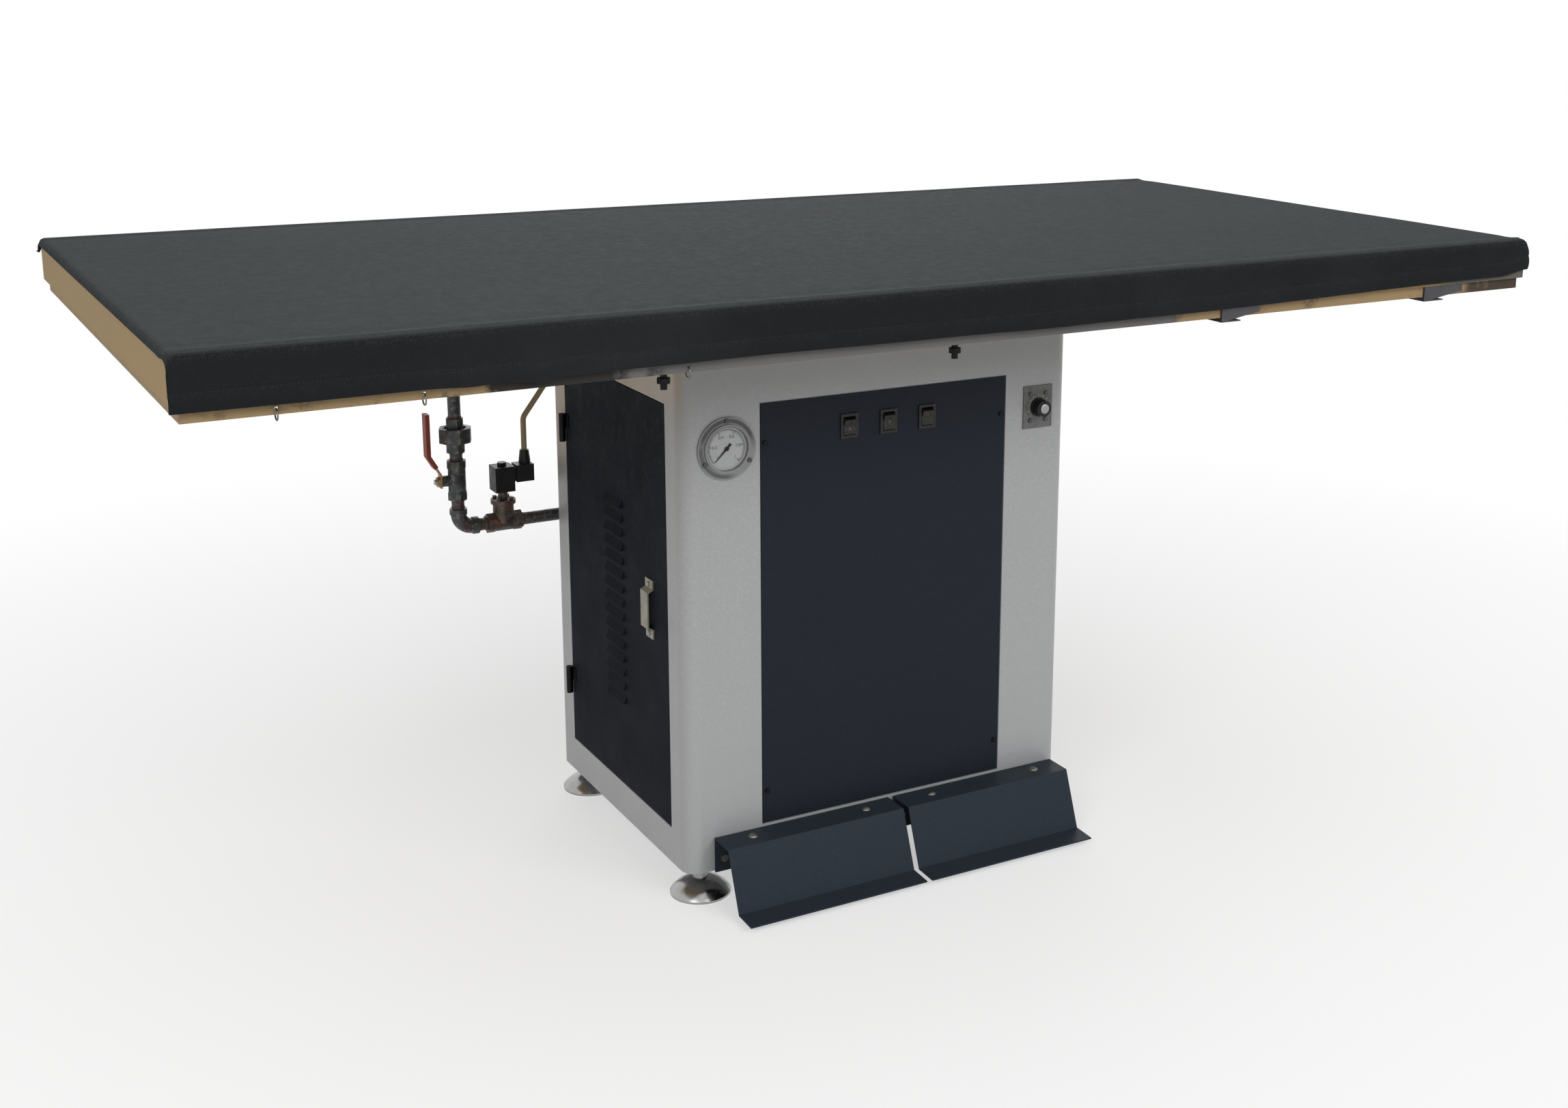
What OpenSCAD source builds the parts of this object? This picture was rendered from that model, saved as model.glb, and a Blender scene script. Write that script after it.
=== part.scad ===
// Steam ironing table: a large padded top on a steam-heated suction box, carried by a sheet cabinet
// that holds the fan, the switches, two foot pedals and the steam line with its valves.
// Millimetres. Z is up and the floor is at zero. X runs along the table, and the front faces -Y.

/* [Table top] */

// Length of the covered top, left to right
top_len = 1836; // [1200:1:2400]
// Depth of the covered top, front to back
top_dep = 915; // [700:1:1200]
// Height of the middle of the cover above the floor
work_h = 830; // [700:1:950]
// Height of the suction box under the pad
box_h = 45.5; // [30:0.5:90]
// Thickness of the sheet that the suction box is made of
box_t = 2; // [1:0.1:4]
// Height of the carrying rail under the suction box
rail_h = 15; // [10:1:40]
// Distance of the carrying rail behind the edge of the cover
rail_inset = 10; // [5:1:40]
// Thickness of the perforated plate
plate_t = 2; // [1:0.5:4]
// Radius of the suction holes in the perforated plate
plate_hole_r = 5; // [2:0.5:12]
// Radius of the steam coil tube under the perforated plate
coil_r = 8; // [5:0.5:12]

/* [Pad and cover] */

// Thickness of the felt pad
pad_h = 8; // [4:0.5:20]
// Thickness of the cloth cover
cover_t = 2.5; // [1:0.1:5]
// How much higher the middle of the cover is than its long edges
crown = 2.5; // [0:0.5:10]
// Radius of the long front and rear edges of the cover
edge_r = 11; // [4:1:25]
// How far the front flap of the cover hangs below the middle of the top
flap_drop = 61; // [30:1:120]
// How far the front flap is drawn up towards its right end
flap_lift = 15; // [0:1:40]
// Height of the stitched hem along the flap
hem_h = 22; // [8:1:40]

/* [Cabinet] */

// Width of the cabinet
cab_w = 580; // [400:1:900]
// Depth of the cabinet, front to back
cab_d = 451.6; // [300:1:700]
// Height of the underside of the cabinet above the floor
cab_z0 = 41; // [30:1:90]
// Radius of the upright corners of the cabinet
cab_r = 22; // [8:1:40]
// Thickness of the cabinet sheet
cab_t = 2; // [1:0.1:3]
// Width of the opening behind the front panel
front_w = 370; // [200:1:460]
// Height of the lower edge of the panel openings above the floor
panel_z0 = 90; // [60:1:150]
// Distance of the top of the panel openings below the carrying rail
panel_top = 98; // [70:1:200]
// Width of the opening behind the side door and the right panel
side_w = 347; // [200:1:420]
// Width of the opening behind the rear panel
rear_w = 400; // [200:1:460]
// Gap around each panel
panel_gap = 1.5; // [0.5:0.1:3]
// Width of the lip behind each opening
lip_w = 14; // [8:1:25]

/* [Door] */

// Length of one louvre
louvre_w = 59; // [30:1:100]
// Distance between louvres
louvre_pitch = 19.7; // [12:0.1:30]
// How far a louvre hood stands out
louvre_out = 5; // [2:0.5:9]
// Length of the pull strip
pull_h = 80; // [50:1:140]
// Width of the pull strip
pull_w = 22; // [12:1:35]
// Height of the middle of the pull strip above the floor
pull_z = 375.5; // [250:0.5:500]
// Outer radius of the hinge barrels
barrel_r = 4.5; // [3:0.5:8]
// Length of one hinge
hinge_h = 40; // [25:1:70]

/* [Pedals] */

// Length of one pedal
pedal_w = 260; // [150:1:280]
// Gap between the two pedals
pedal_gap = 8; // [4:1:30]
// Height of the flat top of the pedals above the floor
pedal_z = 88; // [60:1:120]
// Depth of the flat top of the pedals
pedal_top = 42; // [20:1:80]
// How far the slope of the pedals runs forward
pedal_slope = 30; // [10:1:60]
// Depth of the lip at the foot of the pedals
pedal_lip = 34; // [15:1:60]
// Height of the lip above the floor
pedal_foot = 9.5; // [6:0.5:30]
// Thickness of the pedal sheet
pedal_t = 2; // [1:0.1:4]
// Radius of the pedal shaft
shaft_r = 5; // [3:0.5:8]

/* [Controls] */

// Width of one rocker switch frame
rocker_w = 25.5; // [15:0.5:35]
// Height of one rocker switch frame
rocker_h = 32; // [20:0.5:40]
// Distance between rocker switches
rocker_pitch = 58.5; // [40:0.5:90]
// Distance of the rocker switches below the carrying rail
rocker_drop = 141.5; // [120:0.5:250]
// Radius of the gauge flange
gauge_r = 40; // [25:0.5:60]
// Distance of the gauge from the left side of the cabinet
gauge_x = 61; // [45:0.5:70]
// Distance of the gauge below the carrying rail
gauge_drop = 151.5; // [80:0.5:250]
// Width of the thermostat plate
thermo_w = 46.6; // [30:0.2:70]
// Height of the thermostat plate
thermo_h = 58.8; // [40:0.2:90]
// Radius of the thermostat knob
knob_r = 13; // [8:0.5:20]

/* [Steam line] */

// Outer radius of the steam pipe
pipe_r = 9; // [6:0.1:14]
// Bore radius of the steam pipe
pipe_bore = 6; // [4:0.1:11]
// Distance of the steam line behind the cabinet
line_back = 60; // [40:1:120]
// Distance of the steam riser to the left of the cabinet
riser_out = 123; // [90:1:160]
// Distance of the level part of the steam line below the carrying rail
line_drop = 359; // [320:1:420]
// Height of the ball valve above the level part of the steam line
valve_up = 71; // [60:1:76]

/* [Fan] */

// Radius of the fan wheel
wheel_r = 98; // [70:1:120]
// Height of the fan wheel
wheel_h = 60; // [30:1:90]
// Radius of the fan motor
motor_r = 55; // [40:1:65]
// Radius of the air duct
duct_r = 75; // [50:1:90]

/* [Feet] */

// Radius of the domed feet
foot_r = 40; // [25:1:55]
// Radius of the threaded stud of a foot
stud_r = 6; // [4:0.5:8]
// Distance of each foot from the two sides of the cabinet
foot_in = 32; // [25:1:60]

/* [Hidden] */

$fn = 48;
over = 1;
fit = 0.05;
gap = 0.3;
row_count = 6;
louvre_count = 15;

top_z = work_h;
plate_z1 = work_h - cover_t - pad_h;
box_z1 = plate_z1 - plate_t;
box_z0 = box_z1 - box_h;
rail_z0 = box_z0 - rail_h;
box_side = 4.5;
box_len = top_len - 2 * box_side + over;
box_dep = top_dep - 2 * box_side;
rail_len = top_len - 2 * rail_inset;
rail_dep = top_dep - 2 * rail_inset;
cab_h = rail_z0 - cab_z0;
front_y = -cab_d / 2;
panel_h = rail_z0 - panel_top - panel_z0;
panel_mid = panel_z0 + panel_h / 2;
rocker_z = rail_z0 - rocker_drop;
gauge_z = rail_z0 - gauge_drop;
line_y = cab_d / 2 + line_back;
line_z = rail_z0 - line_drop;
valve_z = line_z + valve_up;
riser_x = -cab_w / 2 - riser_out;
duct_x = 10;

frame_grey = [0.66, 0.67, 0.68];
navy = [0.13, 0.15, 0.19];
tan_paint = [0.60, 0.51, 0.37];
cloth_grey = [0.28, 0.30, 0.30];
felt_grey = [0.75, 0.74, 0.70];
steel = [0.62, 0.63, 0.64];
pipe_grey = [0.27, 0.27, 0.27];
black = [0.06, 0.06, 0.07];
brass = [0.55, 0.38, 0.25];
zinc = [0.75, 0.76, 0.77];
chrome_tint = [0.80, 0.80, 0.82];
red_vinyl = [0.55, 0.16, 0.10];
white = [0.92, 0.92, 0.90];
cable_grey = [0.62, 0.58, 0.50];

// Helpers

function unit(v) = v / norm(v);
function turn2(v) = [-v[1], v[0]];
function off_mid(a, b) = (a + b) / (1 + a * b);
function off_dir(p, i) =
  i == 0 ? turn2(unit(p[1] - p[0])) :
  i == len(p) - 1 ? turn2(unit(p[i] - p[i - 1])) :
  off_mid(turn2(unit(p[i] - p[i - 1])), turn2(unit(p[i + 1] - p[i])));
function off_path(p, t) = [for (i = [0 : len(p) - 1]) p[i] + t * off_dir(p, i)];
function flip(p) = [for (i = [len(p) - 1 : -1 : 0]) p[i]];

// A folded sheet seen from its edge: a line of points thickened to one side.
module fold_2d(p, t) polygon(concat(p, flip(off_path(p, t))));

// Extrudes a (Y, Z) outline along X, centred.
module along_x(w) translate([-w / 2, 0, 0]) rotate([90, 0, 90]) linear_extrude(height = w) children();

// Extrudes an (X, Z) outline along Y, centred.
module along_y(w) translate([0, w / 2, 0]) rotate([90, 0, 0]) linear_extrude(height = w) children();

// A box centred in X and Y that stands on its base.
module post(w, d, h) translate([-w / 2, -d / 2, 0]) cube([w, d, h]);

// A cylinder that lies along X or Y, centred.
module rod_x(r, w) rotate([0, 90, 0]) cylinder(r = r, h = w, center = true);
module rod_y(r, w) rotate([90, 0, 0]) cylinder(r = r, h = w, center = true);

module ring(ro, ri, h) {
  difference() {
    cylinder(r = ro, h = h);
    translate([0, 0, -over]) cylinder(r = ri, h = h + 2 * over);
  }
}

module round_rect(w, d, r) {
  square([w - 2 * r, d], center = true);
  square([w, d - 2 * r], center = true);
  for (x = [-1, 1], y = [-1, 1])
    translate([x * (w / 2 - r), y * (d / 2 - r)]) circle(r = r);
}

// A hexagon bolt head or nut, flats across twice the given size.
hex_share = 1.1547;
module hex(s, h) cylinder(r = s * hex_share, h = h, $fn = 6);

// A round bar between two points.
module bar(a, b, r) {
  d = unit(b - a);
  s = abs(d[2]) > abs(d[0]) ? [1, 0, 0] : [0, 0, 1];
  x = unit(cross(s, d));
  y = cross(d, x);
  multmatrix([
    [x[0], y[0], d[0], a[0]],
    [x[1], y[1], d[1], a[1]],
    [x[2], y[2], d[2], a[2]],
    [0, 0, 0, 1]]) cylinder(r = r, h = norm(b - a));
}

// One smooth bend at the middle one of three points.
module bend(a, p, b, r, turn_r) {
  u = unit(p - a);
  v = unit(b - p);
  phi = acos(u * v);
  n = unit(v - u * (u * v));
  c = p - u * (turn_r * tan(phi / 2)) + n * turn_r;
  z = cross(-n, u);
  multmatrix([
    [-n[0], u[0], z[0], c[0]],
    [-n[1], u[1], z[1], c[1]],
    [-n[2], u[2], z[2], c[2]],
    [0, 0, 0, 1]]) rotate_extrude(angle = phi) translate([turn_r, 0]) circle(r = r);
}

function back_off(a, p, b, turn_r) =
  turn_r * tan(acos(unit(p - a) * unit(b - p)) / 2);

// A round tube or wire along a line of points, bent smoothly at each inner point.
module run(p, r, turn_r) {
  m = len(p) - 1;
  for (i = [0 : m - 1]) {
    d = unit(p[i + 1] - p[i]);
    s = i == 0 ? 0 : back_off(p[i - 1], p[i], p[i + 1], turn_r);
    e = i == m - 1 ? 0 : back_off(p[i], p[i + 1], p[i + 2], turn_r);
    bar(p[i] + d * s, p[i + 1] - d * e, r);
  }
  for (i = [1 : 1 : m - 1]) bend(p[i - 1], p[i], p[i + 1], r, turn_r);
}

// Turns a front-facing piece to the left side, the right side or the rear.
module on_left() translate([-cab_w / 2, 0, 0]) rotate([0, 0, -90]) children();
module on_right() translate([cab_w / 2, 0, 0]) rotate([0, 0, 90]) children();
module on_front() translate([front_mid, front_y, 0]) children();
module on_rear() translate([0, cab_d / 2, 0]) rotate([0, 0, 180]) children();

// Suction box, carrying rail, plate and coil

rib_t = 3;
rib_share = 0.1635;
coil_drop = 16;
coil_z = box_z1 - coil_drop;
row_pitch = 2 * line_y / (row_count - 1);
coil_side = 118;
coil_end = top_len / 2 - coil_side;
coil_mid = 60;
coil_wall = 1.5;
drain_out = 40;
drain_x = cab_w / 2 + drain_out;
rib_xs = [-2 * rib_share, -rib_share, rib_share, 2 * rib_share];

module table_box() color(tan_paint) {
  floor_d = box_dep - 2 * box_t;
  difference() {
    translate([0, 0, box_z0]) post(box_len, box_dep, box_h);
    translate([0, 0, box_z0 + box_t]) post(box_len - 2 * box_t, floor_d, box_h);
    translate([duct_x, 0, box_z0 - over]) cylinder(r = duct_r - box_t, h = box_t + 2 * over);
    for (p = [[riser_x, line_y], [drain_x, line_y]])
      translate([p[0], p[1], box_z0 - over]) cylinder(r = pipe_r + gap, h = box_t + 2 * over);
  }
  difference() {
    union()
      for (s = rib_xs)
        translate([s * top_len, 0, box_z0 + box_t]) post(rib_t, floor_d, box_h - box_t);
    for (i = [0 : row_count - 1])
      translate([0, line_y - i * row_pitch, coil_z]) rod_x(coil_r + gap, box_len);
    for (i = [0 : row_count - 2])
      translate([0, line_y - (i + 1 / 2) * row_pitch, box_z0 + box_h / 2 - rib_t])
        rod_x(box_h / 4, box_len);
  }
}

rail_w = 30;
rail_t = 3;
cross_in = 40;
cross_x = cab_w / 2 - cross_in;
cross_w = 50;
hook_up = 6;
hook_z = rail_z0 + hook_up;
hook_hole = 2;
hook_shares = [-0.445, -0.365, -0.206];
hook_xs = [for (s = hook_shares) s * top_len];
stud_shares = [-0.219, -0.0147];
stud_xs = [for (s = stud_shares) s * top_len];
stud_in = 13;
stud_y = -rail_dep / 2 + stud_in;
tie_r = 4;
tie_in = 14;
tie_y = cab_d / 2 - tie_in;

module underframe() color(tan_paint) difference() {
  union() {
    translate([0, 0, rail_z0]) difference() {
      post(rail_len, rail_dep, rail_h);
      translate([0, 0, -over]) post(rail_len - 2 * rail_t, rail_dep - 2 * rail_t, rail_h - rail_t + over);
      translate([0, 0, -over]) post(rail_len - 2 * rail_w, rail_dep - 2 * rail_w, rail_h + 2 * over);
    }
    for (s = [-1, 1])
      translate([s * cross_x, 0, rail_z0]) difference() {
        post(cross_w, rail_dep - 2 * rail_t, rail_h);
        translate([0, 0, rail_t]) post(cross_w - 2 * rail_t, rail_dep, rail_h - 2 * rail_t);
      }
  }
  for (x = hook_xs) translate([x, -rail_dep / 2, hook_z]) rod_y(hook_hole, 4 * rail_t);
  for (x = stud_xs) translate([x, stud_y, rail_z0]) cylinder(r = tie_r + fit, h = rail_h + over);
  for (x = [-1, 1], y = [-1, 1])
    translate([x * cross_x, y * tie_y, rail_z0 - over])
      cylinder(r = tie_r + gap, h = rail_t + 2 * over);
}

plate_nx = 22;
plate_ny = 10;
module perforated_plate() color(steel) difference() {
  translate([0, 0, box_z1]) post(box_len, box_dep, plate_t);
  for (i = [0 : plate_nx - 1], j = [0 : plate_ny - 1])
    translate([
      (i + 1 / 2 - plate_nx / 2) * box_len / (plate_nx + 1),
      (j + 1 / 2 - plate_ny / 2) * box_dep / (plate_ny + 1),
      box_z1 - over]) cylinder(r = plate_hole_r, h = plate_t + 2 * over);
}

// The coil snakes through the left half, crosses at the front and snakes back through the right half.
function row_y(i) = line_y - i * row_pitch;
module coil_row(x0, x1, i, r)
  translate([x0, row_y(i), coil_z]) rotate([0, 90, 0]) cylinder(r = r, h = x1 - x0);
module coil_turn(x, i, side, r)
  translate([x, row_y(i) - row_pitch / 2, coil_z])
    rotate([0, 0, side > 0 ? -90 : 90])
      rotate_extrude(angle = 180) translate([row_pitch / 2, 0]) circle(r = r);
module coil_half(r) {
  for (i = [1 : row_count - 2]) coil_row(-coil_end, -coil_mid, i, r);
  for (i = [0, 2, 4]) coil_turn(-coil_end, i, -1, r);
  for (i = [1, 3]) coil_turn(-coil_mid, i, 1, r);
}
module coil_solid(r) {
  coil_half(r);
  mirror([1, 0, 0]) coil_half(r);
  coil_row(-coil_end, coil_end, row_count - 1, r);
  coil_row(-coil_end, riser_x, 0, r);
  coil_row(drain_x, coil_end, 0, r);
}
module steam_coil() color(steel) difference() {
  union() {
    coil_solid(coil_r);
    for (x = [riser_x, drain_x])
      translate([x, line_y, coil_z - coil_r - over]) cylinder(r = coil_r + over, h = 2 * coil_r + 2 * over);
  }
  coil_solid(coil_r - coil_wall);
  for (x = [riser_x, drain_x])
    translate([x, line_y, coil_z - 2 * coil_r]) cylinder(r = pipe_bore, h = 2 * coil_r + over);
}

// Pad and cover, both swept along the table from one outline

end_r = 8;
stations_share = [-1, -0.998, -0.995, -0.9913, -0.93, -0.85, -0.78, -0.7, -0.62, -0.5, -0.36, -0.2,
  0, 0.16, 0.3, 0.4, 0.52, 0.65, 0.78, 0.86, 0.93, 0.9913, 0.995, 0.998, 1];
hem_out = 1;
flap_gap = 1;
hem_sag = 4;
rear_drop = 56;

function end_fall(s) =
  let (d = max(0, abs(s) * top_len / 2 - (top_len / 2 - end_r)))
  end_r - sqrt(max(0, end_r * end_r - d * d));
function smooth(a, b, s) = let (t = min(1, max(0, (s - a) / (b - a)))) t * t * (3 - 2 * t);
function bump(c, w, s) = exp(-pow((s - c) / w, 2));
function flap_z(s) = top_z - flap_drop
  + flap_lift * smooth(0.3, 0.92, s)
  - (flap_lift - hem_sag) * smooth(0.93, 1, s)
  - hem_sag / 2 * bump(-0.68, 0.03, s) - hem_sag * bump(-0.6, 0.02, s)
  + hem_sag / 4 * bump(-0.3, 0.1, s) - hem_sag / 4 * bump(0.1, 0.08, s);
function flap_out(s) = hem_sag / 4 * bump(-0.8, 0.1, s) - hem_sag / 8 * bump(-0.45, 0.12, s)
  + hem_sag / 4 * bump(0.2, 0.15, s) + hem_sag / 4 * bump(0.75, 0.1, s);
function crown_at(y, s) =
  crown * (1 - pow(2 * y / top_dep, 2)) * (1 - pow(s, 8)) - crown;

// The skin of the cover at one station: front flap, rounded edge, top, rounded edge, rear flap.
arc_n = 4;
top_n = 6;
function skin(s, t) =
  let (
    zt = top_z - end_fall(s) - t,
    yo = top_dep / 2 - t,
    r = edge_r - t,
    zf = flap_z(s),
    zr = top_z - rear_drop,
    fo = flap_out(s),
    ho = t > 0 ? 0 : hem_out)
  concat(
    [[-yo - fo / 2 - ho / 2, zf], [-yo - fo / 2 - ho, zf + hem_h / 4], [-yo - fo / 2 - ho, zf + hem_h * 0.9],
      [-yo - fo / 2, zf + hem_h]],
    [for (i = [0 : arc_n])
      [-yo + r * (1 - cos(90 * i / arc_n)), zt - crown - r * (1 - sin(90 * i / arc_n))]],
    [for (i = [1 : top_n - 1])
      let (y = (2 * i / top_n - 1) * (yo - r)) [y, zt + crown_at(y, s)]],
    [for (i = [arc_n : -1 : 0])
      [yo - r * (1 - cos(90 * i / arc_n)), zt - crown - r * (1 - sin(90 * i / arc_n))]],
    [[yo, (zt - crown - r + zr) / 2], [yo + ho, zr + hem_h * 0.7], [yo + ho, zr]]);

// Joins rings of points, one ring for each station, into a closed skin.
function lift(ring, x) = [for (q = ring) [x, q[0], q[1]]];
function side_faces(m, n) = [
  for (j = [0 : m - 2], i = [0 : n - 1]) each [
    [j * n + i, j * n + (i + 1) % n, (j + 1) * n + i],
    [j * n + (i + 1) % n, (j + 1) * n + (i + 1) % n, (j + 1) * n + i]]];

module table_cover() color(cloth_grey) {
  rings = [for (s = stations_share)
    lift(concat(skin(s, 0), flip(skin(s, cover_t))), s * top_len / 2)];
  m = len(rings);
  n = len(rings[0]);
  h = n / 2;
  caps = [for (i = [0 : h - 2]) each [
    [i, n - 2 - i, i + 1], [i, n - 1 - i, n - 2 - i]]];
  last = (m - 1) * n;
  ends = [for (f = caps) [last + f[2], last + f[1], last + f[0]]];
  polyhedron(points = [for (g = rings) each g], faces = concat(side_faces(m, n), caps, ends));
}

pad_stations_share = [-0.9965, -0.9913, -0.7, -0.35, 0, 0.35, 0.7, 0.9913, 0.9965];
pad_side = 4;
module foam_pad() color(felt_grey) {
  pad_n = 12;
  rings = [for (s = pad_stations_share) lift(concat(
    [for (i = [0 : pad_n])
      let (y = (2 * i / pad_n - 1) * (top_dep / 2 - pad_side - edge_r / 2))
      [y, top_z - cover_t - gap - end_fall(s) + crown_at(y, s) - (i == 0 || i == pad_n ? edge_r / 4 : 0)]],
    [[top_dep / 2 - pad_side, plate_z1 + pad_h / 8], [top_dep / 2 - pad_side, plate_z1],
      [-top_dep / 2 + pad_side, plate_z1], [-top_dep / 2 + pad_side, plate_z1 + pad_h / 8]]),
    s * top_len / 2)];
  m = len(rings);
  n = len(rings[0]);
  caps = [for (i = [1 : n - 2]) [0, n - 1 - i, n - i]];
  firsts = [for (f = caps) [f[0], f[2], f[1]]];
  last = (m - 1) * n;
  ends = [for (f = caps) [last + f[0], last + f[1], last + f[2]]];
  polyhedron(points = [for (g = rings) each g], faces = concat(side_faces(m, n), ends, firsts));
}

wire_r = 0.8;
hook_r = 6;
module cover_hooks() color(zinc)
  for (x = hook_xs)
    translate([x, -rail_dep / 2 + rail_t / 2, hook_z - hook_r]) rotate([0, 90, 0])
      rotate_extrude() translate([hook_r, 0]) circle(r = wire_r);

bracket_h = 21;
bracket_rise_share = 0.5;
bracket_near_share = 0.2;
bracket_far_share = 0.395;
bracket_near_w = 63;
bracket_far_w = 72;
module edge_bracket(x, w) translate([x, -rail_dep / 2 - rail_t / 2, rail_z0 + rail_h]) {
  along_y(rail_t) polygon([[0, -bracket_h], [w, -bracket_h * bracket_rise_share], [w, 0], [0, 0]]);
  translate([0, -rail_t / 2, -bracket_h]) cube([rail_t, rail_w, bracket_h - rail_h - gap]);
  translate([0, -rail_t / 2, -bracket_h]) cube([w / 2, rail_w, rail_t / 2]);
}
module edge_brackets() color(steel) {
  edge_bracket(bracket_near_share * top_len, bracket_near_w);
  edge_bracket(bracket_far_share * top_len, bracket_far_w);
}

tie_nut_s = 7;
tie_nut_t = 6;
tie_head = 5;
tie_drop = 10;
stud_drop = 19;
stud_nut_drop = 12;
module table_bolts() color(black) {
  for (x = stud_xs) translate([x, stud_y, 0]) {
    translate([0, 0, rail_z0 - stud_drop]) cylinder(r = tie_r, h = rail_h + stud_drop - over / 2);
    translate([0, 0, rail_z0 + rail_h - rail_t - tie_nut_t]) hex(tie_nut_s, tie_nut_t);
    translate([0, 0, rail_z0 - stud_nut_drop]) hex(tie_nut_s, tie_nut_t);
  }
  for (x = [-1, 1], y = [-1, 1])
    translate([x * cross_x, y * tie_y, 0]) {
      translate([0, 0, rail_z0 - cab_t - tie_drop]) cylinder(r = tie_r, h = cab_t + tie_drop + rail_t);
      translate([0, 0, rail_z0 - cab_t - tie_nut_t]) hex(tie_nut_s, tie_nut_t);
      translate([0, 0, rail_z0 + rail_t]) hex(tie_nut_s, tie_head);
    }
}

// Cabinet

flange_w = 28;
lip_back = 8;
side_mid = -3;
front_mid = 2.5;
pedal_mid = 11.5;
left_x0 = pedal_mid - pedal_gap / 2 - pedal_w;
right_x0 = pedal_mid + pedal_gap / 2;
arm_in_a = 46;
arm_in_b = 45.5;
arm_in_c = 49.5;
arm_in_d = 41;
arm_xs = [
  left_x0 + arm_in_a,
  left_x0 + pedal_w - arm_in_b,
  right_x0 + arm_in_c,
  right_x0 + pedal_w - arm_in_d];
arm_t = 5;
shaft_in = 30;
shaft_up = 21;
shaft_y = front_y + shaft_in;
shaft_z = cab_z0 + shaft_up;
slot_side = 2;
slot_down = 16;
slot_up = 20;
slot_z0 = shaft_z - slot_down;
slot_z1 = shaft_z + slot_up;
gauge_cx = -cab_w / 2 + gauge_x;
gauge_body_r = 31;
thermo_in = 51;
thermo_drop = 147;
thermo_x = cab_w / 2 - thermo_in;
thermo_z = rail_z0 - thermo_drop;
thermo_bw = 20;
thermo_bh = 32;
tube_r = 4;
lead_r = 4;
hole_clear = 2;

module opening(w) translate([-w / 2, -over, panel_z0]) cube([w, cab_t + over, panel_h]);
module lip(w) difference() {
  translate([-w / 2 - lip_back, cab_t, panel_z0 - lip_back])
    cube([w + 2 * lip_back, cab_t, panel_h + 2 * lip_back]);
  translate([-w / 2 + lip_w, 0, panel_z0 + lip_w]) cube([w - 2 * lip_w, 3 * cab_t, panel_h - 2 * lip_w]);
}
module flange_ring(z) translate([0, 0, z]) linear_extrude(height = cab_t) difference() {
  round_rect(cab_w - 2 * cab_t, cab_d - 2 * cab_t, cab_r - cab_t);
  square([cab_w - 2 * flange_w, cab_d - 2 * flange_w], center = true);
}

module cabinet_frame() color(frame_grey) difference() {
  union() {
    difference() {
      translate([0, 0, cab_z0]) linear_extrude(height = cab_h) difference() {
        round_rect(cab_w, cab_d, cab_r);
        round_rect(cab_w - 2 * cab_t, cab_d - 2 * cab_t, cab_r - cab_t);
      }
      on_front() opening(front_w);
      on_rear() opening(rear_w);
      translate([0, side_mid, 0]) on_left() opening(side_w);
      translate([0, side_mid, 0]) on_right() opening(side_w);
    }
    on_front() lip(front_w);
    on_rear() lip(rear_w);
    translate([0, side_mid, 0]) on_left() lip(side_w);
    translate([0, side_mid, 0]) on_right() lip(side_w);
    flange_ring(cab_z0);
    flange_ring(rail_z0 - cab_t);
  }
  for (x = arm_xs)
    translate([x - arm_t / 2 - slot_side, front_y - over, slot_z0])
      cube([arm_t + 2 * slot_side, cab_t + 2 * over, slot_z1 - slot_z0]);
  translate([gauge_cx, front_y, gauge_z]) rod_y(gauge_body_r + gap, 4 * cab_t);
  for (a = [90, 210, 330])
    translate([gauge_cx + gauge_screw_r * cos(a), front_y, gauge_z + gauge_screw_r * sin(a)])
      rod_y(small_r + fit, 4 * cab_t);
  translate([thermo_x - thermo_bw / 2 - gap, front_y - over, thermo_z - thermo_bh / 2 - gap])
    cube([thermo_bw + 2 * gap, cab_t + 2 * over, thermo_bh + 2 * gap]);
  for (x = [-1, 1], z = [-1, 1])
    translate([thermo_x + x * thermo_sx, front_y, thermo_z + z * thermo_sz]) rod_y(small_r + fit, 4 * cab_t);
  translate([gauge_cx, cab_d / 2, line_z]) rod_y(tube_r + hole_clear, 4 * cab_t);
  translate([lead_x, cab_d / 2, lead_z]) rod_y(lead_r + hole_clear, 4 * cab_t);
  for (x = [-1, 1], y = [-1, 1]) {
    translate([x * (cab_w / 2 - foot_in), y * (cab_d / 2 - foot_in), cab_z0 - over])
      cylinder(r = stud_r + over, h = cab_t + 2 * over);
    translate([x * cross_x, y * tie_y, rail_z0 - cab_t - over])
      cylinder(r = tie_r + gap, h = cab_t + 2 * over);
  }
  on_front() panel_holes(front_w);
  on_rear() panel_holes(rear_w);
  translate([0, side_mid, 0]) on_right() panel_holes(side_w);
}

screw_r = 2;
screw_in = 7.5;
screw_low = 46;
screw_high = 53;
screw_z0 = panel_z0 + screw_low;
screw_z1 = panel_z0 + panel_h - screw_high;
module panel_holes(w)
  for (x = [-1, 1], z = [screw_z0, screw_z1])
    translate([x * (w / 2 - screw_in), 0, z]) rod_y(screw_r + fit, 8 * cab_t);

stiff_h = 10;
module panel_sheet(w) {
  pw = w - 2 * panel_gap;
  ph = panel_h - 2 * panel_gap;
  sw = w - 2 * lip_w - 2 * cab_t;
  sh = panel_h - 2 * lip_w - 2 * cab_t;
  translate([-pw / 2, 0, panel_z0 + panel_gap]) cube([pw, cab_t, ph]);
  difference() {
    translate([-sw / 2, cab_t, panel_mid - sh / 2]) cube([sw, stiff_h, sh]);
    translate([-sw / 2 + cab_t, 0, panel_mid - sh / 2 + cab_t])
      cube([sw - 2 * cab_t, stiff_h + 2 * cab_t, sh - 2 * cab_t]);
  }
}

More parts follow.
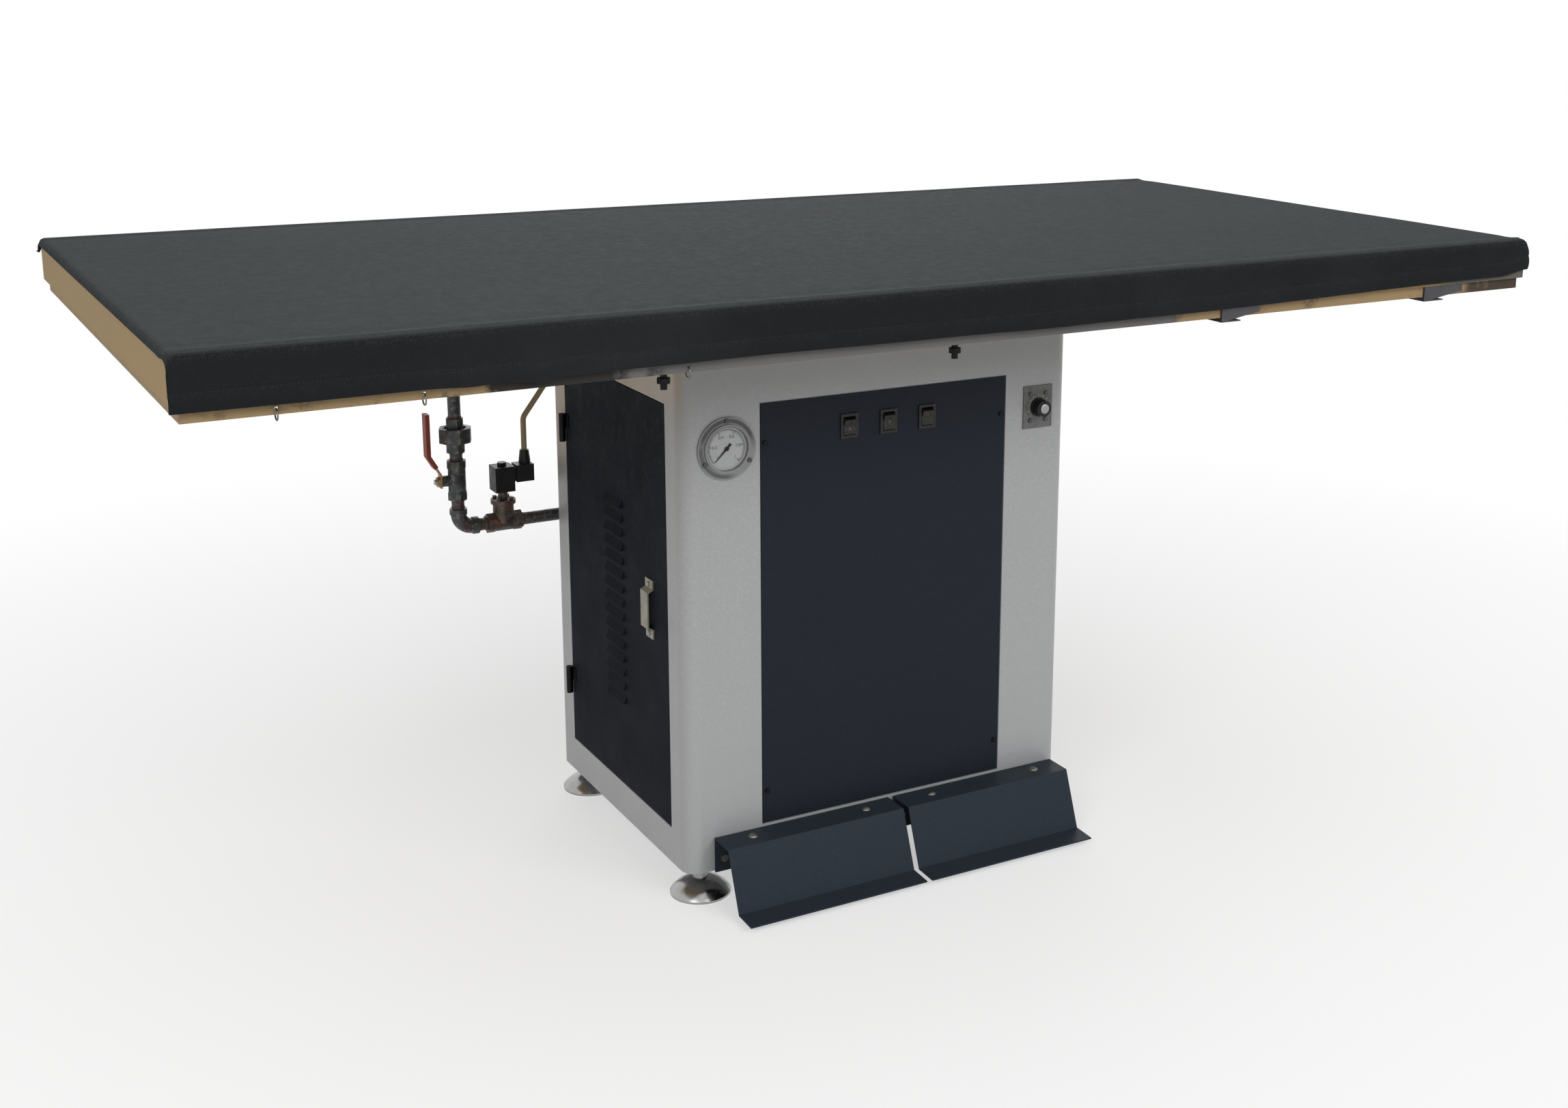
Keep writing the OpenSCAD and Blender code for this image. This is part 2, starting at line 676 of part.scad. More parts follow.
rocker_mid = 4;
rocker_side = 1.75;
rocker_end = 2;
rocker_cut_w = rocker_w - 2 * rocker_side;
rocker_cut_h = rocker_h - 2 * rocker_end;
rocker_dep = 24;
module front_panel() color(navy) on_front() difference() {
  panel_sheet(front_w);
  for (i = [-1, 0, 1])
    translate([rocker_mid - front_mid + i * rocker_pitch, 0, rocker_z])
      translate([-rocker_cut_w / 2 - gap, -over, -rocker_cut_h / 2 - gap])
        cube([rocker_cut_w + 2 * gap, cab_t + 2 * over, rocker_cut_h + 2 * gap]);
  panel_holes(front_w);
}

// A pressed louvre: a hood that stands out over a slot and is open at its foot.
louvre_up = 6;
louvre_t = 1.2;
louvre_low = 128;
louvre_z0 = panel_z0 + louvre_low;
module hood(w, o, u, d) along_x(w) polygon([[0, u], [-o, -d], [0, -d]]);
module louvre_slots()
  for (i = [0 : louvre_count - 1])
    translate([0, 0, louvre_z0 + i * louvre_pitch])
      translate([-louvre_w / 2 + louvre_t, -over, -louvre_out])
        cube([louvre_w - 2 * louvre_t, cab_t + 2 * over, 2 * louvre_out - louvre_t]);
module louvre_hoods()
  for (i = [0 : louvre_count - 1])
    translate([0, 0, louvre_z0 + i * louvre_pitch]) difference() {
      hood(louvre_w, louvre_out, louvre_up, louvre_out);
      translate([0, 0, -louvre_t]) hood(louvre_w - 2 * louvre_t, louvre_out, louvre_up, louvre_out + over);
    }

module right_panel() color(navy) translate([0, side_mid, 0]) on_right() {
  difference() {
    panel_sheet(side_w);
    louvre_slots();
    panel_holes(side_w);
  }
  louvre_hoods();
}

outlet_x0 = 70;
outlet_w = 97;
fan_z0 = 355;
fan_low = 10;
fan_high = 20;
fan_h = wheel_h + fan_low + fan_high;
grille_n = 7;
gland_x = 150;
gland_z = 150;
gland_r = 8;
module rear_panel() color(navy) on_rear() difference() {
  panel_sheet(rear_w);
  for (i = [0 : grille_n - 1])
    translate([-duct_x - outlet_x0 - outlet_w + louvre_out, -over, fan_z0 + (i + 1 / 3) * fan_h / grille_n])
      cube([outlet_w - 2 * louvre_out, cab_t + 2 * over, fan_h / grille_n / 2]);
  translate([-gland_x, 0, gland_z]) rod_y(gland_r + fit, 4 * cab_t);
  panel_holes(rear_w);
}

module panel_screws() color(black) {
  on_front() screw_set(front_w);
  on_rear() screw_set(rear_w);
  translate([0, side_mid, 0]) on_right() screw_set(side_w);
}
head_r = 3.5;
head_h = 2;
screw_tail = 4;
module screw_set(w)
  for (x = [-1, 1], z = [screw_z0, screw_z1])
    translate([x * (w / 2 - screw_in), 0, z]) {
      translate([0, -head_h / 2, 0]) rod_y(head_r, head_h);
      translate([0, cab_t + screw_tail / 2, 0]) rod_y(screw_r, 2 * cab_t + screw_tail);
    }

pan_z = cab_z0 + cab_t;
nut_h = 12;
nut_wall = 5;
vent_w = 14;
vent_pitch = 42;
vent_n = 3;
module base_pan() color(frame_grey) difference() {
  union() {
    translate([0, 0, pan_z]) linear_extrude(height = cab_t)
      round_rect(cab_w - 2 * cab_t - 2 * gap, cab_d - 2 * cab_t - 2 * gap, cab_r - cab_t);
    for (x = [-1, 1], y = [-1, 1])
      translate([x * (cab_w / 2 - foot_in), y * (cab_d / 2 - foot_in), pan_z + cab_t])
        hex(stud_r + nut_wall, nut_h);
  }
  for (x = [-1, 1], y = [-1, 1])
    translate([x * (cab_w / 2 - foot_in), y * (cab_d / 2 - foot_in), cab_z0])
      cylinder(r = stud_r + fit, h = nut_h + 4 * cab_t);
  for (i = [-vent_n : vent_n])
    translate([i * vent_pitch, 0, pan_z - over]) post(vent_w, cab_d / 3, cab_t + 2 * over);
}

// Door with its hinges and pull

hinge_side = 1;
hinge_y = side_mid + side_w / 2 + hinge_side;
hinge_low = 92;
hinge_high = 102;
hinge_zs = [panel_z0 + hinge_low, panel_z0 + panel_h - hinge_high];
pin_r = 2.5;
leaf_w = 15;
module barrel(z0, h, r) translate([-cab_w / 2 - barrel_r - gap, hinge_y, z0]) cylinder(r = r, h = h);

module side_door() color(navy) translate([0, side_mid, 0]) on_left() {
  difference() {
    panel_sheet(side_w);
    louvre_slots();
    for (z = [-1, 1])
      translate([pull_off, 0, pull_z + z * (pull_h / 2 - pull_foot / 2)]) rod_y(screw_r + fit, 4 * cab_t);
  }
  louvre_hoods();
}

leaf_t = 1.5;
module frame_hinges() color(black)
  for (z = hinge_zs) {
    difference() {
      union() {
        barrel(z - hinge_h / 2, hinge_h / 2, barrel_r);
        translate([-cab_w / 2 - leaf_t, hinge_y + over / 4, z - hinge_h / 2])
          cube([leaf_t, leaf_w, hinge_h / 2]);
        translate([-cab_w / 2 - barrel_r, hinge_y + over / 4, z - hinge_h / 2])
          cube([barrel_r, leaf_t, hinge_h / 2]);
      }
      barrel(z - hinge_h / 2 - over, hinge_h / 2 + 2 * over, pin_r);
    }
    barrel(z - hinge_h / 2, hinge_h - 2 * fit, pin_r);
  }

module door_hinges() color(black)
  for (z = hinge_zs)
    difference() {
      union() {
        barrel(z + gap, hinge_h / 2 - gap, barrel_r);
        translate([-cab_w / 2 - leaf_t, hinge_y - leaf_w, z + gap])
          cube([leaf_t, leaf_w - over / 2, hinge_h / 2 - gap]);
        translate([-cab_w / 2 - barrel_r, hinge_y - leaf_t - over / 2, z + gap])
          cube([barrel_r, leaf_t, hinge_h / 2 - gap]);
      }
      translate([-cab_w / 2 - leaf_t / 3, side_mid + side_w / 2 - panel_gap, z])
        cube([leaf_w, leaf_w, hinge_h]);
      barrel(z, hinge_h / 2 + over, pin_r + fit);
    }

pull_off = 117;
pull_foot = 13;
pull_rise = 7;
pull_t = 2;
pull_flat = pull_h / 2 - pull_foot;
pull_path = [
  [0, -pull_h / 2],
  [0, -pull_flat],
  [-pull_rise, -pull_flat + pull_rise / 2],
  [-pull_rise, pull_flat - pull_rise / 2],
  [0, pull_flat],
  [0, pull_h / 2]];
module door_pull() color(zinc) translate([0, side_mid, 0]) on_left() translate([pull_off, 0, pull_z]) {
  difference() {
    along_x(pull_w) fold_2d(flip(pull_path), -pull_t);
    for (z = [-1, 1]) translate([0, 0, z * (pull_h / 2 - pull_foot / 2)]) rod_y(screw_r + fit, 4 * pull_t);
  }
  for (z = [-1, 1])
    translate([0, 0, z * (pull_h / 2 - pull_foot / 2)]) {
      translate([0, -pull_t - head_h / 2, 0]) rod_y(head_r, head_h);
      translate([0, cab_t / 2 - pull_t / 2, 0]) rod_y(screw_r, cab_t + pull_t);
    }
}

// Pedals

pedal_clear = 2.2;
pedal_skirt = 6;
lip_rise = 1.5;
pedal_y0 = front_y - pedal_clear;
pedal_path = [
  [pedal_y0, slot_z0 - pedal_skirt],
  [pedal_y0, pedal_z],
  [pedal_y0 - pedal_top, pedal_z],
  [pedal_y0 - pedal_top - pedal_slope, pedal_foot + lip_rise],
  [pedal_y0 - pedal_top - pedal_slope - pedal_lip, pedal_foot]];
bolt_back = 2;
bolt_y = pedal_y0 - pedal_top / 2 + bolt_back;
eye_r = 11;
tail_l = 46;
tail_half = 4;
tail_root = 7;
arm_half = 9;
arm_run = 44;
arm_nose = 5;
arm_in = 6;
arm_throat = 4;
arm_heel = 12;
arm_neck = 10;
arm_top = pedal_z - pedal_t;
arm_front = pedal_y0 - pedal_top + arm_in;
arm_path = [
  [shaft_y, shaft_z - arm_half],
  [shaft_y - arm_run, shaft_z - arm_half],
  [arm_front, shaft_z + arm_nose],
  [arm_front, arm_top],
  [pedal_y0 - arm_in, arm_top],
  [pedal_y0 - arm_throat, shaft_z + arm_heel],
  [shaft_y - arm_neck, shaft_z + arm_half],
  [shaft_y + arm_neck, shaft_z + tail_root],
  [shaft_y + tail_l, shaft_z + tail_half],
  [shaft_y + tail_l, shaft_z - tail_half],
  [shaft_y + arm_neck, shaft_z - tail_root]];
pedal_bolt_r = 3;
notch_top = 8;
rivet_in = 13;
rivet_drop = 4;

module pedal_plate(x0) color(navy) difference() {
  translate([x0 + pedal_w / 2, 0, 0]) along_x(pedal_w) fold_2d(pedal_path, pedal_t);
  for (x = arm_xs) {
    translate([x - arm_t / 2 - gap, pedal_y0 - pedal_t - over, slot_z0])
      cube([arm_t + 2 * gap, pedal_t + 2 * over, arm_top - notch_top - slot_z0]);
    translate([x, bolt_y, pedal_z - 2 * pedal_t]) cylinder(r = pedal_bolt_r + fit, h = 4 * pedal_t);
  }
  for (x = [x0 + rivet_in, x0 + pedal_w - rivet_in])
    translate([x, pedal_y0, shaft_z - rivet_drop]) rod_y(pedal_bolt_r + fit, 4 * pedal_t);
}

bolt_pad_w = 20;
bolt_pad_d = 18;
bolt_pad_t = 3;
pocket_s = 6.5;
pocket_h = 11;
module pedal_arm(x) color(navy) translate([x, 0, 0]) difference() {
  union() {
    along_x(arm_t) polygon(arm_path);
    translate([0, shaft_y, shaft_z]) rod_x(eye_r, 2 * arm_t);
    translate([-bolt_pad_w / 2, bolt_y - bolt_pad_d / 2, arm_top - bolt_pad_t])
      cube([bolt_pad_w, bolt_pad_d, bolt_pad_t]);
  }
  translate([0, shaft_y, shaft_z]) rod_x(shaft_r + fit, 4 * arm_t);
  translate([0, bolt_y, arm_top - bolt_pad_t - pocket_h]) {
    cylinder(r = pedal_bolt_r + fit, h = pocket_h + bolt_pad_t + over);
    hex(pocket_s, pocket_h);
  }
}

module pedal_left() {
  pedal_plate(left_x0);
  for (i = [0, 1]) pedal_arm(arm_xs[i]);
}
module pedal_right() {
  pedal_plate(right_x0);
  for (i = [2, 3]) pedal_arm(arm_xs[i]);
}

bolt_len = 8;
bolt_ball_r = 7.5;
bolt_ball_in = 4;
bolt_nut_s = 5.5;
bolt_nut_t = 5;
rivet_head_r = 5;
module pedal_bolt(x) color(zinc) translate([x, bolt_y, 0]) {
  translate([0, 0, arm_top - bolt_len]) cylinder(r = pedal_bolt_r, h = bolt_len + pedal_t);
  translate([0, 0, pedal_z]) intersection() {
    translate([0, 0, -bolt_ball_in]) sphere(r = bolt_ball_r);
    cylinder(r = bolt_ball_r, h = bolt_ball_r);
  }
  translate([0, 0, arm_top - bolt_len]) hex(bolt_nut_s, bolt_nut_t);
}
module flange_rivet(x) color(black) translate([x, pedal_y0, shaft_z - rivet_drop]) {
  translate([0, -pedal_t - head_h / 2, 0]) rod_y(rivet_head_r, head_h);
  translate([0, -pedal_t / 2, 0]) rod_y(pedal_bolt_r, pedal_t);
}
module pedal_bolts_left() {
  for (i = [0, 1]) pedal_bolt(arm_xs[i]);
  for (x = [left_x0 + rivet_in, left_x0 + pedal_w - rivet_in]) flange_rivet(x);
}
module pedal_bolts_right() {
  for (i = [2, 3]) pedal_bolt(arm_xs[i]);
  for (x = [right_x0 + rivet_in, right_x0 + pedal_w - rivet_in]) flange_rivet(x);
}

bearing_in = 18.5;
bearing_xs = [arm_xs[0] + bearing_in, pedal_mid, arm_xs[3] - bearing_in];
bearing_w = 26;
bearing_t = 4;
bearing_foot_w = 28;
bearing_h = shaft_z - pan_z - cab_t;
module pedal_shaft() color(steel)
  translate([(arm_xs[0] + arm_xs[3]) / 2, shaft_y, shaft_z])
    rod_x(shaft_r, arm_xs[3] - arm_xs[0] + 3 * arm_t);
module pedal_bearings() color(zinc)
  for (x = bearing_xs) translate([x, shaft_y, pan_z + cab_t]) difference() {
    union() {
      post(bearing_t, bearing_w, bearing_h);
      translate([0, 0, bearing_h]) rod_x(bearing_w / 2, bearing_t);
      post(bearing_foot_w, bearing_w, bearing_t);
    }
    translate([0, 0, bearing_h]) rod_x(shaft_r + fit, 4 * bearing_t);
  }

switch_w = 20;
switch_d = 28;
switch_h = 40;
switch_in = 8;
switch_up = 16;
plunger_r = 3.5;
plunger_up = 6.5;
switch_y = shaft_y + tail_l - switch_in;
module pedal_switches() color(black)
  for (x = [arm_xs[1], arm_xs[2]]) translate([x, switch_y, 0]) {
    translate([0, 0, shaft_z + switch_up]) post(switch_w, switch_d, switch_h);
    translate([0, 0, shaft_z + plunger_up]) cylinder(r = plunger_r, h = switch_up - plunger_up + over);
    translate([switch_w / 2 + cab_t, 0, pan_z + cab_t])
      post(2 * cab_t, switch_w, shaft_z + switch_up + switch_h - pan_z - cab_t);
    translate([switch_w, 0, pan_z + cab_t]) post(switch_w, switch_w, cab_t);
  }

// Rocker switches

bezel_t = 2.5;
cap_side = 2.5;
cap_end = 3;
cap_w = rocker_cut_w - 2 * cap_side;
cap_h = rocker_cut_h - 2 * cap_end;
cap_play = 1.5;
cap_hollow = 2.5;
cap_edge = 1;
cap_root = 3;
well_d = 12;
tab_pitch = 6;
tab_t = 1;
tab_l = 7;
rock_tilt = 9;
axle_y = 4;
axle_r = 1.5;
dot_r = 1.6;
dot_in = 2;
module switch_bezels() color(black)
  for (i = [-1, 0, 1])
    translate([rocker_mid + i * rocker_pitch, front_y, rocker_z]) difference() {
      union() {
        translate([-rocker_w / 2, -bezel_t, -rocker_h / 2]) cube([rocker_w, bezel_t, rocker_h]);
        translate([-rocker_cut_w / 2, 0, -rocker_cut_h / 2]) cube([rocker_cut_w, rocker_dep, rocker_cut_h]);
        for (x = [-1, 0, 1])
          translate([x * tab_pitch - tab_t / 2, rocker_dep, -tab_pitch / 2]) cube([tab_t, tab_l, tab_pitch]);
      }
      translate([-cap_w / 2 - gap, -bezel_t - over, -cap_h / 2 - cap_play])
        cube([cap_w + 2 * gap, bezel_t + over + well_d, cap_h + 2 * cap_play]);
      translate([0, axle_y, 0]) rod_x(axle_r + fit, cap_w + 2 * cap_play);
    }

// The cap is hollow across its face, so its two ends stand proud, with a dot sunk in the upper one.
face_y = -bezel_t - axle_y;
cap_path = [
  [face_y - cap_hollow, cap_h / 2 - cap_edge],
  [face_y - cap_hollow + cap_edge / 2, cap_h / 4],
  [face_y, 0],
  [face_y - cap_hollow + cap_edge / 2, -cap_h / 4],
  [face_y - cap_hollow, -cap_h / 2 + cap_edge],
  [-axle_y + cap_edge, -cap_h / 2 + cap_edge / 2],
  [axle_y, -cap_root],
  [axle_y, cap_root],
  [-axle_y + cap_edge, cap_h / 2 - cap_edge / 2]];
module rocker_cap(i) color(black)
  translate([rocker_mid + i * rocker_pitch, front_y + axle_y, rocker_z]) {
    rotate([rock_tilt, 0, 0]) difference() {
      along_x(cap_w) polygon(cap_path);
      translate([0, face_y - dot_in, cap_h / 4]) rod_y(dot_r, 2 * cap_edge);
    }
    rod_x(axle_r, cap_w + cap_play);
  }
module rocker_left() rocker_cap(-1);
module rocker_middle() rocker_cap(0);
module rocker_right() rocker_cap(1);

// Thermostat

thermo_t = 2;
thermo_dep = 32;
thermo_sx = 12.5;
thermo_sz = 18.5;
small_r = 1.5;
small_len = 10;
small_head_r = 3;
small_head_h = 2;
spindle_r = 3;
spindle_l = 18;
skirt_w = 5;
skirt_t = 0.8;
chamber_y = 17;
chamber_h = 14;
chamber_w = 2.5;
collar_h = 6;
collar_w = 2;
knob_h = 15;
knob_gap = 1.2;
knob_step = 2;
knob_base = 3;
knob_cap = 1;
mark_w = 1.2;
module thermostat() color(steel) translate([thermo_x, front_y, thermo_z]) difference() {
  union() {
    translate([-thermo_w / 2, -thermo_t, -thermo_h / 2]) cube([thermo_w, thermo_t, thermo_h]);
    translate([-thermo_bw / 2, 0, -thermo_bh / 2]) cube([thermo_bw, thermo_dep, thermo_bh]);
    translate([0, -thermo_t - skirt_t / 2, 0]) rod_y(knob_r + skirt_w, skirt_t);
  }
  rod_y(spindle_r + fit, 4 * knob_h);
  translate([0, chamber_y, 0]) rod_y(spindle_r + chamber_w, chamber_h);
  for (x = [-1, 1], z = [-1, 1])
    translate([x * thermo_sx, 0, z * thermo_sz]) rod_y(small_r + fit, 2 * thermo_dep + over);
}
module control_screw() {
  translate([0, -small_head_h / 2, 0]) rod_y(small_head_r, small_head_h);
  translate([0, small_len / 2, 0]) rod_y(small_r, small_len);
}
gauge_screw_r = 35.5;
gauge_screw_as = [90, 210, 330];
module control_screws() color(zinc) {
  for (x = [-1, 1], z = [-1, 1])
    translate([thermo_x + x * thermo_sx, front_y - thermo_t, thermo_z + z * thermo_sz]) control_screw();
  for (a = gauge_screw_as)
    translate([gauge_cx + gauge_screw_r * cos(a), front_y - flange_t, gauge_z + gauge_screw_r * sin(a)])
      control_screw();
}
module thermostat_knob() color(black) translate([thermo_x, front_y - thermo_t - knob_gap, thermo_z]) {
  difference() {
    translate([0, -knob_h / 2, 0]) rod_y(knob_r - knob_step, knob_h);
    translate([-mark_w / 2, -knob_h - over, knob_r / 2]) cube([mark_w, knob_h, knob_r]);
  }
  translate([0, -knob_base / 2 - gap, 0]) rod_y(knob_r, knob_base);
  translate([0, spindle_l / 2, 0]) rod_y(spindle_r, spindle_l);
  translate([0, chamber_y, 0]) rod_y(spindle_r + collar_w, collar_h);
  translate([0, -knob_h - knob_cap / 2, 0]) rod_y(knob_r / 2, knob_cap);
}

// Pressure gauge

flange_t = 2.5;
gauge_rim = 3;
gauge_dep = 26;
gauge_boss_r = 7;
gauge_boss_h = 10;
dial_r = 28;
dial_t = 1;
glass_t = 1;
glass_y = 4.8;
pivot_r = 1;
pivot_l = 6;
pivot_y = 1;
module at_gauge() translate([gauge_cx, front_y, gauge_z]) children();
module gauge_case() color(zinc) at_gauge() difference() {
  union() {
    translate([0, -flange_t / 2, 0]) rod_y(gauge_r, flange_t);
    translate([0, -flange_t - gauge_rim / 2, 0]) rod_y(gauge_body_r, gauge_rim);
    translate([0, gauge_dep / 2, 0]) rod_y(gauge_body_r, gauge_dep);
    translate([0, gauge_dep + gauge_boss_h / 2, 0]) rod_y(gauge_boss_r, gauge_boss_h);
  }
  translate([0, -flange_t - gauge_rim, 0]) rod_y(dial_r + fit, 2 * flange_t + 2 * gauge_rim);
  rod_y(pivot_r + fit, 2 * pivot_l + 2 * pivot_y);
  for (a = gauge_screw_as)
    translate([gauge_screw_r * cos(a), 0, gauge_screw_r * sin(a)]) rod_y(small_r + fit, 4 * flange_t);
}
module gauge_dial() color(white) at_gauge() difference() {
  translate([0, -dial_t / 2, 0]) rod_y(dial_r - fit, dial_t);
  rod_y(pivot_r + fit, 4 * dial_t);
}
module gauge_glass() color([0.8, 0.85, 0.9, 0.4]) at_gauge()
  translate([0, -glass_y, 0]) rod_y(dial_r - fit, glass_t);
needle_l = 22;
needle_t = 0.6;
needle_y = 2.1;
needle_w = 1.3;
needle_tip = 0.3;
tail_w = 1;
tail_end_w = 1.8;
tail_len = 8;
hub_r = 2.6;
hub_h = 2;
hub_y = 2.4;
module gauge_needle() color(black) at_gauge() {
  translate([0, -hub_y, 0]) rod_y(hub_r, hub_h);
  translate([0, pivot_y, 0]) rod_y(pivot_r, pivot_l);
  rotate([0, -135, 0]) translate([0, -needle_y, 0]) along_y(needle_t)
    polygon([[-needle_w, 0], [needle_w, 0], [needle_tip, needle_l], [-needle_tip, needle_l]]);
  rotate([0, 45, 0]) translate([0, -needle_y, 0]) along_y(needle_t)
    polygon([[-tail_w, 0], [tail_w, 0], [tail_end_w, tail_len], [-tail_end_w, tail_len]]);
}
tube_in = 75.8;
tube_y = cab_d / 2 - tube_in;
tube_turn = 20;
tube_bore = 3;
tube_nut_s = 7;
tube_nut_h = 8;
tee_half = 26;
module gauge_tube() color(brass) {
  run([[gauge_cx, front_y + gauge_dep + gauge_boss_h, gauge_z], [gauge_cx, tube_y, gauge_z],
    [gauge_cx, tube_y, line_z], [gauge_cx, line_y - tee_half, line_z]], tube_r, tube_turn);
  translate([gauge_cx, line_y - tee_half, line_z]) rotate([90, 0, 0]) difference() {
    hex(tube_nut_s, tube_nut_h);
    translate([0, 0, -over]) cylinder(r = tube_bore, h = tube_nut_h + 2 * over);
  }
}

// Steam line

module at_line(x) translate([x, line_y, line_z]) children();
elbow_r = 20;
fit_r = 11;
band_r = 12.5;
band_h = 8;
sock = 8;
deep_sock = 12;
valve_half = 29;
sol_half = 26;
sol_out = 67;
union_up = 112;
union_h = 50;
tee_branch = 12;
inlet_out = 115;
inlet_stub = 28;
coupling_x = 55;
coupling_s = 12;
coupling_h = 12;
sol_x = riser_x + sol_out;
tee_x = gauge_cx;
inlet_x = tee_x + inlet_out;
union_z0 = line_z + union_up;
union_z1 = union_z0 + union_h;

// A threaded elbow: a smooth bend with a reinforcing band at each mouth.
module elbow() difference() {
  union() {
    translate([elbow_r, 0, elbow_r]) rotate([90, 0, 0]) rotate([0, 0, 180])
      rotate_extrude(angle = 90) translate([elbow_r, 0]) circle(r = fit_r);
    translate([0, 0, elbow_r]) cylinder(r = band_r, h = band_h);
    translate([elbow_r, 0, 0]) rotate([0, 90, 0]) cylinder(r = band_r, h = band_h);
  }
  translate([0, 0, elbow_r]) cylinder(r = pipe_r, h = band_h + over);
  translate([elbow_r, 0, 0]) rotate([0, 90, 0]) cylinder(r = pipe_r, h = band_h + over);
}
module pipe_z(x, z0, z1) translate([x, line_y, z0]) ring(pipe_r, pipe_bore, z1 - z0);
module pipe_along(x0, x1)
  translate([x0, line_y, line_z]) rotate([0, 90, 0]) ring(pipe_r, pipe_bore, x1 - x0);
module steam_pipes() color(pipe_grey) {
  at_line(riser_x) elbow();
  pipe_z(riser_x, line_z + elbow_r, valve_z - valve_half + sock);
  pipe_z(riser_x, valve_z + valve_half - sock, union_z0 + deep_sock);
  pipe_z(riser_x, union_z1 - deep_sock, coil_z - coil_r - over);
  pipe_along(riser_x + elbow_r, sol_x - sol_half + sock);
  pipe_along(sol_x + sol_half - sock, tee_x - tee_branch);
  difference() {
    union() {
      at_line(tee_x) rod_x(fit_r, 2 * tee_half);
      for (s = [-1, 1]) at_line(tee_x + s * (tee_half - band_h / 2)) rod_x(band_r, band_h);
      at_line(tee_x) rotate([90, 0, 0]) cylinder(r = fit_r, h = tee_half);
      at_line(tee_x) translate([0, -tee_half + band_h / 2, 0]) rod_y(band_r, band_h);
    }
    for (s = [-1, 1]) at_line(tee_x + s * tee_half) rod_x(pipe_r, 2 * (tee_half - tee_branch));
    at_line(tee_x) rod_x(pipe_bore, 2 * tee_half + 2 * over);
    at_line(tee_x) rotate([90, 0, 0]) cylinder(r = tube_r, h = tee_half + over);
  }
  pipe_along(tee_x + tee_branch, inlet_x - elbow_r);
  at_line(tee_x + coupling_x) rotate([0, 90, 0]) difference() {
    hex(coupling_s, coupling_h);
    translate([0, 0, -over]) cylinder(r = pipe_r, h = coupling_h + 2 * over);
  }
  at_line(inlet_x) rotate([0, 180, 0]) elbow();
  pipe_z(inlet_x, line_z - elbow_r - band_h - inlet_stub, line_z - elbow_r);
}

// The union: a lower tail with its seat, an upper tail with its collar, and the nut over both.
union_low_r = 13.5;
union_low_h = 14;
union_seat_r = 16;
union_seat_h = 12;
union_collar_h = 6;
union_top_r = 12.5;
union_nut_r = 23.5;
union_nut_h = 21;
union_nut_up = 15;
union_lip = 3;
union_lip_r = 15.5;
module pipe_union() color(pipe_grey) translate([riser_x, line_y, union_z0]) {
  difference() {
    union() {
      cylinder(r = union_low_r, h = union_low_h, $fn = 8);
      translate([0, 0, union_low_h]) cylinder(r = union_seat_r, h = union_seat_h);
    }
    translate([0, 0, -over]) cylinder(r = pipe_r, h = deep_sock + over);
    cylinder(r = pipe_bore, h = union_h);
  }
  difference() {
    translate([0, 0, union_low_h + union_seat_h]) {
      cylinder(r = union_seat_r, h = union_collar_h);
      cylinder(r = union_top_r, h = union_h - union_low_h - union_seat_h, $fn = 8);
    }
    cylinder(r = pipe_bore, h = union_h + over);
    translate([0, 0, union_h - deep_sock]) cylinder(r = pipe_r, h = deep_sock + over);
  }
  translate([0, 0, union_nut_up]) difference() {
    cylinder(r = union_nut_r, h = union_nut_h, $fn = 8);
    translate([0, 0, -over]) cylinder(r = union_seat_r + fit, h = union_nut_h - union_lip + over);
    translate([0, 0, -over]) cylinder(r = union_lip_r, h = union_nut_h + 2 * over);
  }
}

// Ball valve: body with a round chamber, a drilled ball on a stem, and a cranked lever
ball_r = 9.5;
valve_body_r = 12.5;
valve_body_h = 40;
valve_end_r = 14;
valve_end_h = 11;
stem_r = 4;
stem_x = 23;
stem_end = 33;
stem_in = 1.5;
boss_r = 8;
boss_x0 = 10;
boss_x1 = 22;
module ball_valve() color(pipe_grey) translate([riser_x, line_y, valve_z]) difference() {
  union() {
    cylinder(r = valve_body_r, h = valve_body_h, center = true);
    for (s = [-1, 1]) translate([0, 0, s * (valve_half - valve_end_h / 2)])
      cylinder(r = valve_end_r, h = valve_end_h, center = true, $fn = 8);
    translate([-(boss_x0 + boss_x1) / 2, 0, 0]) rod_x(boss_r, boss_x1 - boss_x0);
  }
  sphere(r = ball_r + gap);
  cylinder(r = pipe_bore, h = 2 * valve_half + 2 * over, center = true);
  for (s = [-1, 1]) translate([0, 0, s * (valve_half - sock / 2 + over / 2)])
    cylinder(r = pipe_r, h = sock + over, center = true);
  translate([-boss_x1, 0, 0]) rod_x(stem_r + fit, 2 * boss_x1);
}
module valve_ball() color(steel) translate([riser_x, line_y, valve_z]) {
  difference() {
    sphere(r = ball_r);
    cylinder(r = pipe_bore, h = 4 * ball_r, center = true);
  }
  translate([-(stem_end + ball_r - stem_in) / 2, 0, 0]) rod_x(stem_r, stem_end - ball_r + stem_in);
}
lever_foot = 9;
lever_knee = 11;
lever_bend = 40;
lever_end = 98;
lever_out = 17;
lever_t = 2.5;
lever_w = 12;
lever_nut_s = 6.5;
lever_nut_h = 4;
grip_share = 0.414;
grip_wall = 1.8;
grip_end = 3;
lever_path = [
  [-stem_x, -lever_foot],
  [-stem_x, lever_knee],
  [-stem_x - lever_out, lever_bend],
  [-stem_x - lever_out, lever_end]];
grip_path = [
  [-stem_x - grip_share * lever_out, lever_knee + grip_share * (lever_bend - lever_knee)],
  [-stem_x - lever_out, lever_bend],
  [-stem_x - lever_out, lever_end + grip_end]];
